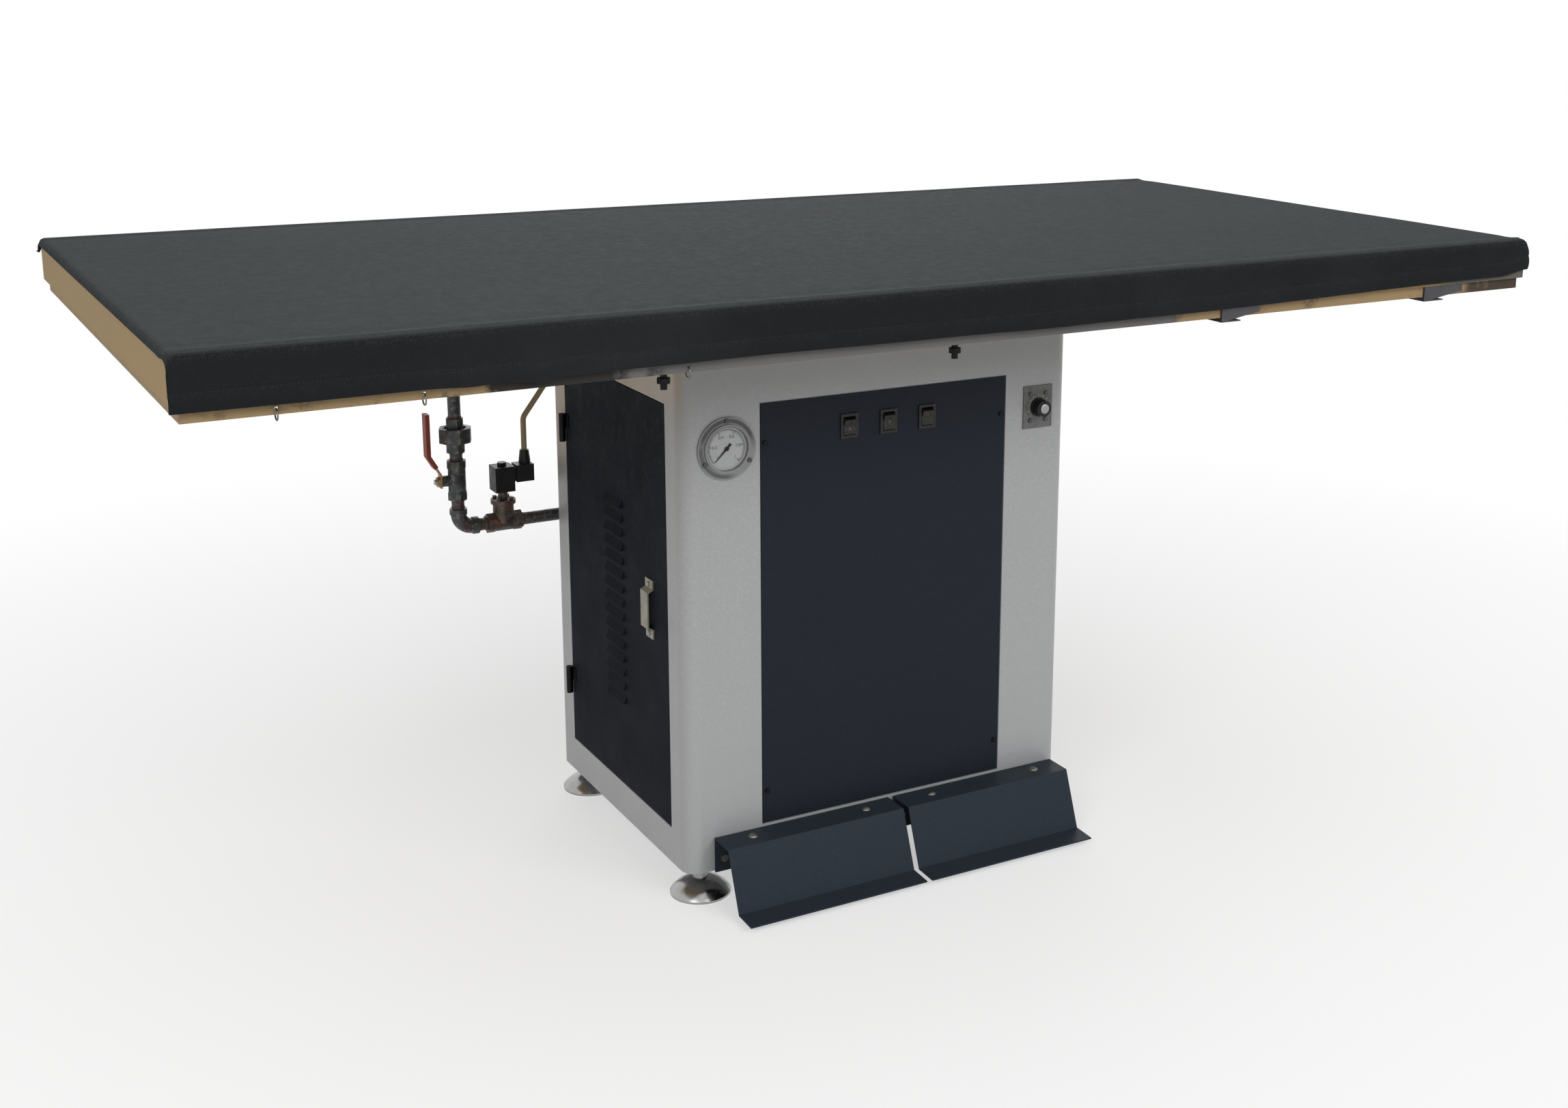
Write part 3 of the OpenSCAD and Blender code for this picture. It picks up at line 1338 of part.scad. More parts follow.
module valve_lever() color(zinc) translate([riser_x, line_y, valve_z]) {
  difference() {
    along_y(lever_w) fold_2d(lever_path, lever_t);
    translate([-stem_x, 0, 0]) rod_x(stem_r + fit, 4 * lever_t);
  }
  translate([-stem_x - lever_t - lever_nut_h, 0, 0]) rotate([0, 90, 0]) difference() {
    hex(lever_nut_s, lever_nut_h);
    translate([0, 0, -over]) cylinder(r = stem_r + fit, h = lever_nut_h + 2 * over);
  }
}
module valve_grip() color(red_vinyl) translate([riser_x, line_y, valve_z]) difference() {
  along_y(lever_w + 2 * grip_wall)
    fold_2d([for (q = grip_path) q + [grip_wall, 0]], lever_t + 2 * grip_wall);
  along_y(lever_w + 2 * fit) fold_2d(lever_path, lever_t);
}

// Solenoid valve on the level part of the line
coil_w = 29;
coil_up = 47;
coil_h = 37;
coil_z0 = line_z + coil_up;
coil_z1 = coil_z0 + coil_h;
sol_body_r = 13;
sol_end_r = 14.5;
sol_end_h = 12;
bonnet_r = 15;
bonnet_h = 28;
bonnet_rim_r = 18;
bonnet_rim_h = 6;
bonnet_bolt_r = 3;
bonnet_bolt_h = 4;
bonnet_bolt_ring = 13.5;
sleeve_r = 7;
module solenoid_valve() color(brass) difference() {
  union() {
    at_line(sol_x) rod_x(sol_body_r, 2 * sol_half - sol_end_h);
    for (s = [-1, 1]) at_line(sol_x + s * (sol_half - sol_end_h / 2)) rotate([0, 90, 0])
      cylinder(r = sol_end_r, h = sol_end_h, center = true, $fn = 6);
    at_line(sol_x) cylinder(r = bonnet_r, h = bonnet_h);
    at_line(sol_x) translate([0, 0, bonnet_h]) cylinder(r = bonnet_rim_r, h = bonnet_rim_h);
    at_line(sol_x) cylinder(r = sleeve_r, h = coil_z1 - line_z);
    for (a = [45 : 90 : 315]) at_line(sol_x)
      translate([bonnet_bolt_ring * cos(a), bonnet_bolt_ring * sin(a), bonnet_h + bonnet_rim_h])
        cylinder(r = bonnet_bolt_r, h = bonnet_bolt_h);
  }
  for (s = [-1, 1]) at_line(sol_x + s * (sol_half - sock / 2 + over / 2)) rod_x(pipe_r, sock + over);
  at_line(sol_x) rod_x(pipe_bore, 3 * sol_half);
}
socket_t = 4;
socket_w = 20;
socket_h = 20;
socket_up = 14;
module solenoid_coil() color(black) difference() {
  union() {
    translate([sol_x, line_y, coil_z0]) post(coil_w, coil_w, coil_h);
    translate([sol_x + coil_w / 2 + socket_t / 2, line_y, coil_z0 + socket_up])
      post(socket_t, socket_w, socket_h);
  }
  translate([sol_x, line_y, coil_z0 - over]) cylinder(r = sleeve_r + fit, h = coil_h + 2 * over);
}
plug_l = 26;
plug_w = 24;
plug_h = 25;
plug_up = 12;
gland_off = 16;
neck_r = 8.5;
neck_h = 4;
cone_r = 6.5;
cone_h = 16;
cone_seat = 6;
coil_nut_s = 6;
coil_nut_h = 5;
plug_x = sol_x + coil_w / 2 + socket_t;
plug_z1 = coil_z0 + plug_up + plug_h;
module solenoid_plug() color(black) {
  translate([plug_x + plug_l / 2, line_y, coil_z0 + plug_up]) post(plug_l, plug_w, plug_h);
  translate([plug_x + gland_off, line_y, plug_z1]) cylinder(r = neck_r, h = neck_h);
  translate([plug_x + gland_off, line_y, plug_z1 + neck_h]) difference() {
    cylinder(r1 = neck_r, r2 = cone_r, h = cone_h);
    translate([0, 0, cone_seat]) cylinder(r = lead_r, h = cone_h);
  }
  translate([sol_x, line_y, coil_z1]) hex(coil_nut_s, coil_nut_h);
}

// The lead climbs from the plug, slants to the cabinet, and crosses inside to the gear box. Its places
// are round numbers chosen by hand.
plug_top = [plug_x + gland_off, line_y, plug_z1 + neck_h + cone_seat];
lead_turn = 15;
lead_slope = [72, 0, 154];
lead_rise = [0, 0, 58];
lead_in = plug_top + lead_slope;
lead_x = lead_in[0];
lead_z = lead_in[2];
lead_off = 18;
lead_over = 50;
gear_x = 230;
gear_back = 110.8;
gear_drop = 287;
gear_w = 50;
gear_d = 110;
gear_h = 150;
gear_plate_d = 160;
gear_plate_in = 10;
gear_neck_r = 8;
gear_neck_h = 12;
gear_y = cab_d / 2 - gear_back;
gear_z0 = rail_z0 - gear_drop;
module solenoid_lead() color(cable_grey)
  run([plug_top, plug_top + lead_rise, lead_in, [lead_x, cab_d / 2 - lead_off, lead_z],
    [lead_x, cab_d / 2 - lead_off, lead_z + lead_over], [gear_x, cab_d / 2 - lead_off, lead_z + lead_over],
    [gear_x, gear_y, lead_z + lead_over], [gear_x, gear_y, gear_z0 + gear_h + gear_neck_h]],
    lead_r, lead_turn);

// Control gear box inside the cabinet, its mounting plate and the mains gland
gland_l = 20;
gland_nut_s = 12;
gland_nut_h = 6;
module control_gear() color(frame_grey) {
  translate([gear_x, gear_y, gear_z0]) difference() {
    post(gear_w, gear_d, gear_h);
    translate([0, 0, cab_t]) post(gear_w - 2 * cab_t, gear_d - 2 * cab_t, gear_h - 2 * cab_t);
    translate([0, 0, gear_h - 2 * cab_t]) cylinder(r = lead_r + gap, h = 4 * cab_t);
  }
  translate([gear_x, gear_y, gear_z0 + gear_h]) ring(gear_neck_r, lead_r + gap, gear_neck_h);
  translate([gear_x + gear_w / 2, cab_d / 2 - cab_t - gear_plate_d, gear_z0 + gear_plate_in])
    cube([cab_t, gear_plate_d, gear_h - 2 * gear_plate_in]);
  translate([gland_x, cab_d / 2, gland_z]) {
    translate([0, -cab_t, 0]) rotate([-90, 0, 0]) ring(gland_r, gland_r / 2, gland_l);
    rotate([-90, 0, 0]) difference() {
      hex(gland_nut_s, gland_nut_h);
      translate([0, 0, -over]) cylinder(r = gland_r, h = gland_nut_h + 2 * over);
    }
  }
}

trap_drop = 28;
trap_r = 24;
trap_h = 50;
trap_rim = 4;
trap_rim_h = 8;
trap_nut_s = 15;
trap_nut_h = 12;
drain_nut_s = 14;
drain_nut_h = 14;
drain_l = 36;
trap_z0 = line_z - trap_drop;
trap_z1 = trap_z0 + trap_h + trap_rim_h + trap_nut_h;
module condensate_line() color(pipe_grey) {
  pipe_z(drain_x, trap_z1, coil_z - coil_r - over);
  translate([drain_x, line_y, trap_z0]) {
    cylinder(r = trap_r, h = trap_h);
    translate([0, 0, trap_h]) cylinder(r = trap_r + trap_rim, h = trap_rim_h);
    translate([0, 0, trap_h + trap_rim_h]) hex(trap_nut_s, trap_nut_h);
    translate([0, 0, -drain_nut_h]) hex(drain_nut_s, drain_nut_h);
  }
  pipe_z(drain_x, trap_z0 - drain_nut_h - drain_l, trap_z0 - drain_nut_h);
}

// Fan: a scroll that widens by quarters to its outlet, with a bladed wheel on the motor's shaft

fan_t = 2;
shell_r = 120;
shell_step = 15;
outlet_side = 5;
eye_in = 30;
shaft_hole_r = 22;
module quarter(r, a) rotate([0, 0, a]) intersection() {
  circle(r = r);
  square([2 * r, 2 * r]);
}
module scroll_2d(inset) {
  for (i = [0 : 3]) quarter(shell_r + i * shell_step - inset, 90 * i);
  translate([outlet_x0 + inset, 0])
    square([outlet_w - 2 * inset - fan_t, cab_d / 2 - cab_t - stiff_h - outlet_side]);
}
module fan_housing() color(steel) translate([duct_x, 0, fan_z0]) difference() {
  linear_extrude(height = fan_h) scroll_2d(0);
  translate([0, 0, fan_t]) linear_extrude(height = fan_h - 2 * fan_t) scroll_2d(fan_t);
  translate([outlet_x0 + fan_t, cab_d / 4, fan_t])
    cube([outlet_w - 3 * fan_t, cab_d / 2, fan_h - 2 * fan_t]);
  translate([0, 0, fan_h - 2 * fan_t]) cylinder(r = wheel_r - eye_in, h = 4 * fan_t);
  translate([0, 0, -over]) cylinder(r = shaft_hole_r, h = 4 * fan_t);
}
blade_n = 18;
blade_w = 24;
blade_in = 14;
rim_w = 28;
hub_hold_r = 16;
hub_hold_h = 26;
fan_shaft_r = 7;
fan_shaft_down = 130;
fan_shaft_up = 20;
module fan_wheel() color(zinc) translate([duct_x, 0, fan_z0]) {
  translate([0, 0, fan_low]) cylinder(r = wheel_r, h = fan_t);
  translate([0, 0, fan_low]) cylinder(r = hub_hold_r, h = hub_hold_h);
  translate([0, 0, fan_low + wheel_h - fan_t]) ring(wheel_r, wheel_r - rim_w, fan_t);
  for (i = [0 : blade_n - 1])
    rotate([0, 0, 360 * i / blade_n]) translate([wheel_r - blade_in, 0, fan_low]) rotate([0, 0, 35])
      translate([-blade_w / 2, -fan_t / 4, 0]) cube([blade_w, fan_t / 2, wheel_h - fan_t / 2]);
  translate([0, 0, -fan_shaft_down]) cylinder(r = fan_shaft_r, h = fan_shaft_down + fan_shaft_up);
}
fin_n = 16;
fin_t = 2;
fin_h = 110;
fin_up = 15;
fin_w = 5;
motor_h = 145;
motor_rim = 12;
motor_rim_h = 6;
box_w = 28;
box_in = 10;
box_y = 44;
box_down = 110;
term_h = 60;
shaft_play = 2;
module fan_motor() color(pipe_grey) translate([duct_x, 0, fan_z0]) difference() {
  union() {
    translate([0, 0, -motor_rim_h]) cylinder(r = motor_r + motor_rim, h = motor_rim_h);
    translate([0, 0, -motor_h]) cylinder(r = motor_r - fin_w, h = motor_h);
    for (i = [0 : fin_n - 1])
      rotate([0, 0, 360 * i / fin_n]) translate([0, -fin_t / 2, -fin_h - fin_up])
        cube([motor_r, fin_t, fin_h]);
    translate([motor_r - box_in, -box_y / 2, -box_down]) cube([box_w, box_y, term_h]);
  }
  translate([0, 0, -fan_shaft_down - shaft_play])
    cylinder(r = fan_shaft_r + fit, h = fan_shaft_down + 2 * shaft_play);
}
stand_x = 96;
stand_y = 100;
stand_w = 25;
module fan_stand() color(frame_grey) translate([duct_x, 0, 0]) {
  for (s = [-1, 1]) translate([s * stand_x, 0, fan_z0 - stand_w]) difference() {
    post(stand_w, 2 * stand_y, stand_w);
    translate([-s * cab_t, 0, -cab_t]) post(stand_w, 2 * stand_y + over, stand_w);
  }
  for (x = [-1, 1], y = [-1, 1])
    translate([x * stand_x, y * (stand_y - stand_w / 2), pan_z + cab_t]) difference() {
      post(stand_w, stand_w, fan_z0 - stand_w - pan_z - cab_t);
      translate([-x * cab_t, -y * cab_t, -over]) post(stand_w, stand_w, fan_z0);
    }
}
duct_flange = 15;
duct_flange_t = 3;
module air_duct() color(steel) translate([duct_x, 0, 0]) {
  translate([0, 0, fan_z0 + fan_h]) ring(duct_r, duct_r - box_t, box_z0 - fan_z0 - fan_h);
  translate([0, 0, fan_z0 + fan_h]) ring(duct_r + duct_flange, duct_r - over, duct_flange_t);
  translate([0, 0, box_z0 - duct_flange_t]) ring(duct_r + duct_flange, duct_r - over, duct_flange_t);
}

// Feet

dome_h = 20;
dome_k = (foot_r * foot_r + dome_h * dome_h) / (2 * dome_h);
foot_rim = 3;
foot_gap = 6;
foot_neck_r = 10;
foot_nut_s = 9.5;
foot_nut_t = 8;
foot_neck_h = cab_z0 - foot_gap - foot_nut_t;
stud_up = 43;
module foot(x, y) color(chrome_tint)
  translate([x * (cab_w / 2 - foot_in), y * (cab_d / 2 - foot_in), 0]) {
    cylinder(r = foot_r, h = foot_rim);
    translate([0, 0, foot_rim]) intersection() {
      translate([0, 0, dome_h - dome_k]) sphere(r = dome_k);
      cylinder(r = foot_r, h = dome_h);
    }
    cylinder(r = foot_neck_r, h = foot_neck_h);
    cylinder(r = stud_r, h = cab_z0 + stud_up);
    translate([0, 0, foot_neck_h]) hex(foot_nut_s, foot_nut_t);
  }
module foot_front_left() foot(-1, -1);
module foot_front_right() foot(1, -1);
module foot_rear_left() foot(-1, 1);
module foot_rear_right() foot(1, 1);

cabinet_frame();
base_pan();
front_panel();
panel_screws();
right_panel();
rear_panel();
frame_hinges();
side_door();
door_hinges();
door_pull();
underframe();
table_box();
perforated_plate();
steam_coil();
foam_pad();
table_cover();
cover_hooks();
edge_brackets();
table_bolts();
air_duct();
fan_housing();
fan_motor();
fan_stand();
fan_wheel();
control_gear();
switch_bezels();
rocker_left();
rocker_middle();
rocker_right();
thermostat();
thermostat_knob();
control_screws();
gauge_case();
gauge_dial();
gauge_glass();
gauge_needle();
gauge_tube();
steam_pipes();
pipe_union();
ball_valve();
valve_ball();
valve_lever();
valve_grip();
solenoid_valve();
solenoid_coil();
solenoid_plug();
solenoid_lead();
condensate_line();
pedal_left();
pedal_right();
pedal_bolts_left();
pedal_bolts_right();
pedal_shaft();
pedal_bearings();
pedal_switches();
foot_front_left();
foot_front_right();
foot_rear_left();
foot_rear_right();
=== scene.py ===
import math

import bmesh
import bpy
from mathutils import Matrix, Vector, noise


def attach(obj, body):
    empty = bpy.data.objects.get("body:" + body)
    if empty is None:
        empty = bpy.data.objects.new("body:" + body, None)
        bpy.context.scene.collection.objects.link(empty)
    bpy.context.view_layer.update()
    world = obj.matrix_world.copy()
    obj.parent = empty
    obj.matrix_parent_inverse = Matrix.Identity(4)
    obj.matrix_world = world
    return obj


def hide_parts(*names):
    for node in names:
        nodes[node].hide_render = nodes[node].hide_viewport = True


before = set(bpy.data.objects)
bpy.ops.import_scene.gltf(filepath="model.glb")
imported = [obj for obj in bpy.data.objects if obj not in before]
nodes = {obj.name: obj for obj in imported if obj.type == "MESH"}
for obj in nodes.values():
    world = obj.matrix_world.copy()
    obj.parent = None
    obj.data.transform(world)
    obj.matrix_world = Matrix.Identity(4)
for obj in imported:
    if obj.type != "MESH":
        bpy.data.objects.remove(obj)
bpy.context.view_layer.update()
scene = bpy.context.scene

# Lengths are in metres, and in mm where a comment or a docstring says so.
MM = 0.001
FRONT_Y = -0.2258  # outer face of the cabinet's front
GAUGE = Vector((-0.229, FRONT_Y, 0.6055))
THERMO = Vector((0.239, FRONT_Y, 0.610))
PRINT_LIFT = 0.06  # mm by which print stands off the face that carries it


def add_object(name, data):
    o = bpy.data.objects.new(name, data)
    scene.collection.objects.link(o)
    return o


# ---------------------------------------------------------------- camera, fitted to points of the photo
PHOTO_W, PHOTO_H = 2296, 1623
FOCAL_PX, CX, CY = 2811.72, 1326.06, 610.69
YAW, PITCH, ROLL = (math.radians(a) for a in (30.8, 12.98, 0.63))
EYE = Vector((-1.22476, -2.33133, 1.18272))


def make_camera():
    ahead = Vector((math.sin(YAW) * math.cos(PITCH), math.cos(YAW) * math.cos(PITCH), -math.sin(PITCH)))
    level = Vector((math.cos(YAW), -math.sin(YAW), 0))
    rise = level.cross(ahead)
    right = level * math.cos(ROLL) + rise * math.sin(ROLL)
    up = -level * math.sin(ROLL) + rise * math.cos(ROLL)
    cam = add_object("camera", bpy.data.cameras.new("camera"))
    pose = Matrix((right, up, -ahead)).transposed().to_4x4()
    pose.translation = EYE
    cam.matrix_world = pose
    cam.data.sensor_fit = "HORIZONTAL"
    cam.data.sensor_width = 36
    cam.data.lens = 36 * FOCAL_PX / PHOTO_W
    cam.data.shift_x = (PHOTO_W / 2 - CX) / PHOTO_W
    cam.data.shift_y = (CY - PHOTO_H / 2) / PHOTO_W
    cam.data.clip_end = 50
    scene.camera = cam


# ---------------------------------------------------------------- materials
def lin(r, g, b):
    """sRGB 0-255 to linear."""
    out = []
    for v in (r, g, b):
        v /= 255
        out.append(v / 12.92 if v <= 0.04045 else ((v + 0.055) / 1.055) ** 2.4)
    return tuple(out)


class Mat:
    """A Principled material with a short way of wiring noise into its colour, roughness and bump."""

    def __init__(self, name, colour, rough=0.5, metallic=0.0, **sockets):
        self.m = bpy.data.materials.new(name)
        self.m.use_nodes = True
        self.t = self.m.node_tree
        self.bsdf = self.t.nodes["Principled BSDF"]
        self.bsdf.inputs["Base Color"].default_value = (*colour, 1)
        self.bsdf.inputs["Roughness"].default_value = rough
        self.bsdf.inputs["Metallic"].default_value = metallic
        for socket, value in sockets.items():
            self.bsdf.inputs[socket.replace("_", " ")].default_value = value
        self.col = None
        self.colour = colour
        self.height = None
        self.obj = self.node("ShaderNodeTexCoord").outputs["Object"]

    def node(self, kind, **props):
        n = self.t.nodes.new(kind)
        for k, v in props.items():
            setattr(n, k, v)
        return n

    def link(self, a, b):
        self.t.links.new(a, b)

    def noise(self, scale, detail=3.0, rough=0.55, stretch=(1, 1, 1)):
        mp = self.node("ShaderNodeMapping")
        mp.inputs["Scale"].default_value = stretch
        self.link(self.obj, mp.inputs["Vector"])
        n = self.node("ShaderNodeTexNoise")
        n.inputs["Scale"].default_value = scale
        n.inputs["Detail"].default_value = detail
        n.inputs["Roughness"].default_value = rough
        self.link(mp.outputs[0], n.inputs["Vector"])
        return n.outputs["Fac"]

    def ramp(self, fac, lo, hi, a=0.0, b=1.0):
        """Takes lo to a and hi to b, and holds them beyond."""
        r = self.node("ShaderNodeMapRange")
        r.inputs["From Min"].default_value = lo
        r.inputs["From Max"].default_value = hi
        r.inputs["To Min"].default_value = a
        r.inputs["To Max"].default_value = b
        self.link(fac, r.inputs["Value"])
        return r.outputs["Result"]

    def math(self, op, a, b=0.0):
        n = self.node("ShaderNodeMath", operation=op)
        for i, v in enumerate((a, b)):
            if isinstance(v, (int, float)):
                n.inputs[i].default_value = v
            else:
                self.link(v, n.inputs[i])
        return n.outputs[0]

    def product(self, first, *more):
        for fac in more:
            first = self.math("MULTIPLY", first, fac)
        return first

    def blotch(self, fac, other):
        """Mixes the colour so far with another, by fac."""
        mix = self.node("ShaderNodeMix", data_type="RGBA")
        if self.col is None:
            mix.inputs["A"].default_value = (*self.colour, 1)
        else:
            self.link(self.col, mix.inputs["A"])
        mix.inputs["B"].default_value = (*other, 1)
        self.link(fac, mix.inputs["Factor"])
        self.col = mix.outputs["Result"]
        self.link(self.col, self.bsdf.inputs["Base Color"])
        return self

    def rough(self, fac, lo, hi):
        """Roughness that varies with fac."""
        self.link(self.ramp(fac, 0.3, 0.7, lo, hi), self.bsdf.inputs["Roughness"])
        return self

    def bump(self, fac, strength, distance):
        """Adds a bump to those made so far."""
        b = self.node("ShaderNodeBump")
        b.inputs["Strength"].default_value = strength
        b.inputs["Distance"].default_value = distance
        self.link(fac, b.inputs["Height"])
        if self.height is not None:
            self.link(self.height, b.inputs["Normal"])
        self.height = b.outputs["Normal"]
        self.link(self.height, self.bsdf.inputs["Normal"])
        return self

    def axis(self, which):
        s = self.node("ShaderNodeSeparateXYZ")
        self.link(self.obj, s.inputs[0])
        return s.outputs[which]


def shade(colour, k):
    return tuple(v * k for v in colour)


def powder(name, colour, fleck, rough=0.42, spec=0.07, grit=420):
    """Textured powder coat: fine orange peel with pale and dark flecks."""
    m = Mat(name, colour, rough, Specular_IOR_Level=spec)
    fine = m.noise(900, 2)
    grain = m.noise(grit, 3, 0.6)
    m.blotch(m.ramp(grain, 0.48, 0.7, 0, 0.6), shade(colour, 1 + fleck))
    m.blotch(m.ramp(fine, 0.42, 0.3, 0, 0.6), shade(colour, 1 - fleck))
    m.blotch(m.ramp(m.noise(5, 3), 0.45, 0.75, 0, 0.35), shade(colour, 0.93))
    m.rough(m.noise(14, 4), rough - 0.06, rough + 0.1)
    m.bump(grain, 0.25, 0.0006)
    return m


def weave_material(name, top, flap, fleck):
    """Close-woven cover cloth: crossing yarns 3 mm apart, mottled, with painted shade where it hangs."""
    m = Mat(name, top, 0.85, Specular_IOR_Level=0.06, Sheen_Weight=0.015, Sheen_Roughness=0.5)
    normal = m.node("ShaderNodeNewGeometry").outputs["Normal"]
    parts = m.node("ShaderNodeSeparateXYZ")
    m.link(normal, parts.inputs[0])
    tilt = m.node("ShaderNodeVectorMath", operation="MULTIPLY")
    tilt.inputs[1].default_value = (0.5, 1, 0)
    m.link(normal, tilt.inputs[0])
    lean = m.node("ShaderNodeVectorMath", operation="LENGTH")
    m.link(tilt.outputs[0], lean.inputs[0])
    # painted shade: where the cloth hangs it turns to the dark flap colour, fully on the front and rear and
    # partly at the ends, by how far its normal leans from upright
    m.blotch(m.ramp(lean.outputs["Value"], 0.24, 0.69, 0, 1), flap)
    up = m.ramp(parts.outputs["Z"], 0, 0.9, 0.12, 1)
    m.blotch(m.product(m.ramp(m.noise(420, 3, 0.7), 0.5, 0.7, 0, 0.36), up), fleck)
    m.blotch(m.ramp(m.noise(700, 3, 0.65), 0.52, 0.35, 0, 0.4), shade(flap, 0.8))
    m.blotch(m.ramp(m.noise(3.2, 3, 0.5), 0.45, 0.75, 0, 0.22), shade(top, 1.2))
    waves = []
    for axis in ("X", "Y"):
        w = m.node("ShaderNodeTexWave", bands_direction=axis)
        w.inputs["Scale"].default_value = 110
        w.inputs["Distortion"].default_value = 0.6
        w.inputs["Detail"].default_value = 1
        m.link(m.obj, w.inputs["Vector"])
        waves.append(w.outputs["Fac"])
    both = m.product(*waves)
    m.blotch(m.ramp(both, 0.1, 0.6, 0.3, 0), shade(flap, 0.9))
    m.bump(both, 0.12, 0.0006)
    m.bump(m.noise(45, 4, 0.6), 0.2, 0.002)
    m.rough(m.noise(90, 3), 0.8, 0.95)
    return m


def sheet_metal(name, colour, rough, stretch=(1, 1, 1)):
    """Bare metal, clouded and scuffed; stretch draws the scuffs out where the sheet is rolled."""
    m = Mat(name, colour, rough, 1.0)
    m.blotch(m.ramp(m.noise(24, 4), 0.45, 0.75, 0, 0.5), shade(colour, 0.72))
    m.rough(m.noise(60, 4, 0.6, stretch), rough - 0.1, rough + 0.15)
    m.bump(m.noise(180, 3, 0.6, stretch), 0.08, 0.0004)
    return m


def plastic(name, colour, rough):
    """Moulded plastic with pale handling marks."""
    m = Mat(name, colour, rough, Specular_IOR_Level=0.3)
    m.blotch(m.ramp(m.noise(30, 4), 0.5, 0.8, 0, 0.5), shade(colour, 1.6))
    m.rough(m.noise(70, 4), rough - 0.05, rough + 0.15)
    m.bump(m.noise(700, 2), 0.12, 0.0003)
    return m


def pipe_metal(name, colour, rust, pale, rusty):
    """Oily malleable iron: dark, with rust bloom, dried sealant and pale wear."""
    m = Mat(name, colour, 0.5, 0.3)
    m.blotch(m.ramp(m.noise(60, 5, 0.75), 0.5 + rusty, 0.6 + rusty, 0, 0.9), rust)
    m.blotch(m.ramp(m.noise(150, 5, 0.72), 0.51, 0.6, 0, 0.95), pale)
    m.blotch(m.ramp(m.noise(90, 3), 0.52, 0.66, 0, 0.7), shade(colour, 0.4))
    m.rough(m.noise(90, 4), 0.35, 0.7)
    m.bump(m.noise(260, 4, 0.65), 0.5, 0.0012)
    return m


def mottled(name, colour, rough, patches, grain, metallic=0.0, **sockets):
    """A plain surface with patches of a second colour and a fine bump.

    patches is (noise, from, to, most, colour) and grain is (noise, strength, distance).
    """
    m = Mat(name, lin(*colour), rough, metallic, **sockets)
    spread, low, high, most, other = patches
    m.blotch(m.ramp(m.noise(*spread), low, high, 0, most), lin(*other))
    fine, strength, distance = grain
    m.bump(m.noise(*fine), strength, distance)
    return m


M = {}  # the materials, by the short names that CAD_LOOKS uses
ROLLED = (1, 1, 18)

METALS = {  # name, colour, roughness
    "zinc": ("zinc_plate", (196, 197, 198), 0.3),
    "dark_steel": ("dark_steel", (84, 84, 86), 0.5),
    "bolt": ("bolt_zinc", (118, 115, 106), 0.45),
    "lever": ("yellow_zinc", (158, 134, 102), 0.5),
    "blackmetal": ("black_zinc", (34, 34, 36), 0.45),
    "tube": ("copper_tube", (170, 110, 76), 0.35),
    "cap": ("knob_cap", (150, 150, 152), 0.32),
}

PLASTICS = {  # name, colour, roughness
    "black": ("black_plastic", (20, 20, 21), 0.42),
    "bezel": ("bezel_plastic", (31, 30, 29), 0.5),
    "rocker": ("rocker_plastic", (30, 29, 28), 0.4),
    "red": ("red_grip", (138, 62, 44), 0.5),
    "cable": ("cable_sheath", (150, 132, 104), 0.6),
    "thread": ("sewing_thread", (40, 42, 43), 0.8),
    "lamp": ("neon_lens", (84, 34, 26), 0.3),
    "print": ("dial_print", (18, 18, 18), 0.6),
    "pale_print": ("pale_print", (150, 150, 146), 0.6),
}


def make_powder_coats():
    """The cabinet's paints; the grey carries painted shade under the top, painted light low down and a
    painted tan reflection of the box high on the left side.
    """
    grey = lin(151, 152, 153)
    paint = powder("frame_paint", grey, 0.2, 0.34, 0.6, 300)
    x, y, z = (paint.axis(which) for which in "XYZ")
    # painted shade: the grey darkens towards the top, under the overhang of the table top
    paint.blotch(paint.ramp(z, 0.6, 0.7, 0, 0.4), shade(grey, 0.7))
    # painted light: the grey grows paler towards the floor
    paint.blotch(paint.ramp(z, 0.4, 0.12, 0, 0.6), shade(grey, 1.12))
    # painted reflection: a tan cast on the left side of the frame, high up below the tan box, above a sloping
    # line
    slope = paint.math("ADD", z, paint.product(y, 0.4))
    tan_reflection = paint.product(paint.ramp(slope, 0.54, 0.64), paint.ramp(x, -0.281, -0.287))
    paint.blotch(tan_reflection, lin(148, 130, 101))
    M["frame"] = paint
    M["navy"] = powder("navy_paint", lin(32, 36, 44), 0.35, 0.42)
    M["pedal"] = powder("pedal_paint", lin(42, 49, 57), 0.3, 0.45)
    door = powder("door_paint", lin(31, 34, 40), 0.35, 0.55, 0.015)
    dust = door.ramp(door.noise(95, 5, 0.7), 0.5, 0.66, 0, 0.6)
    door.blotch(door.product(door.ramp(door.axis("Z"), 0.3, 0.62), dust), lin(50, 51, 50))
    M["door"] = door


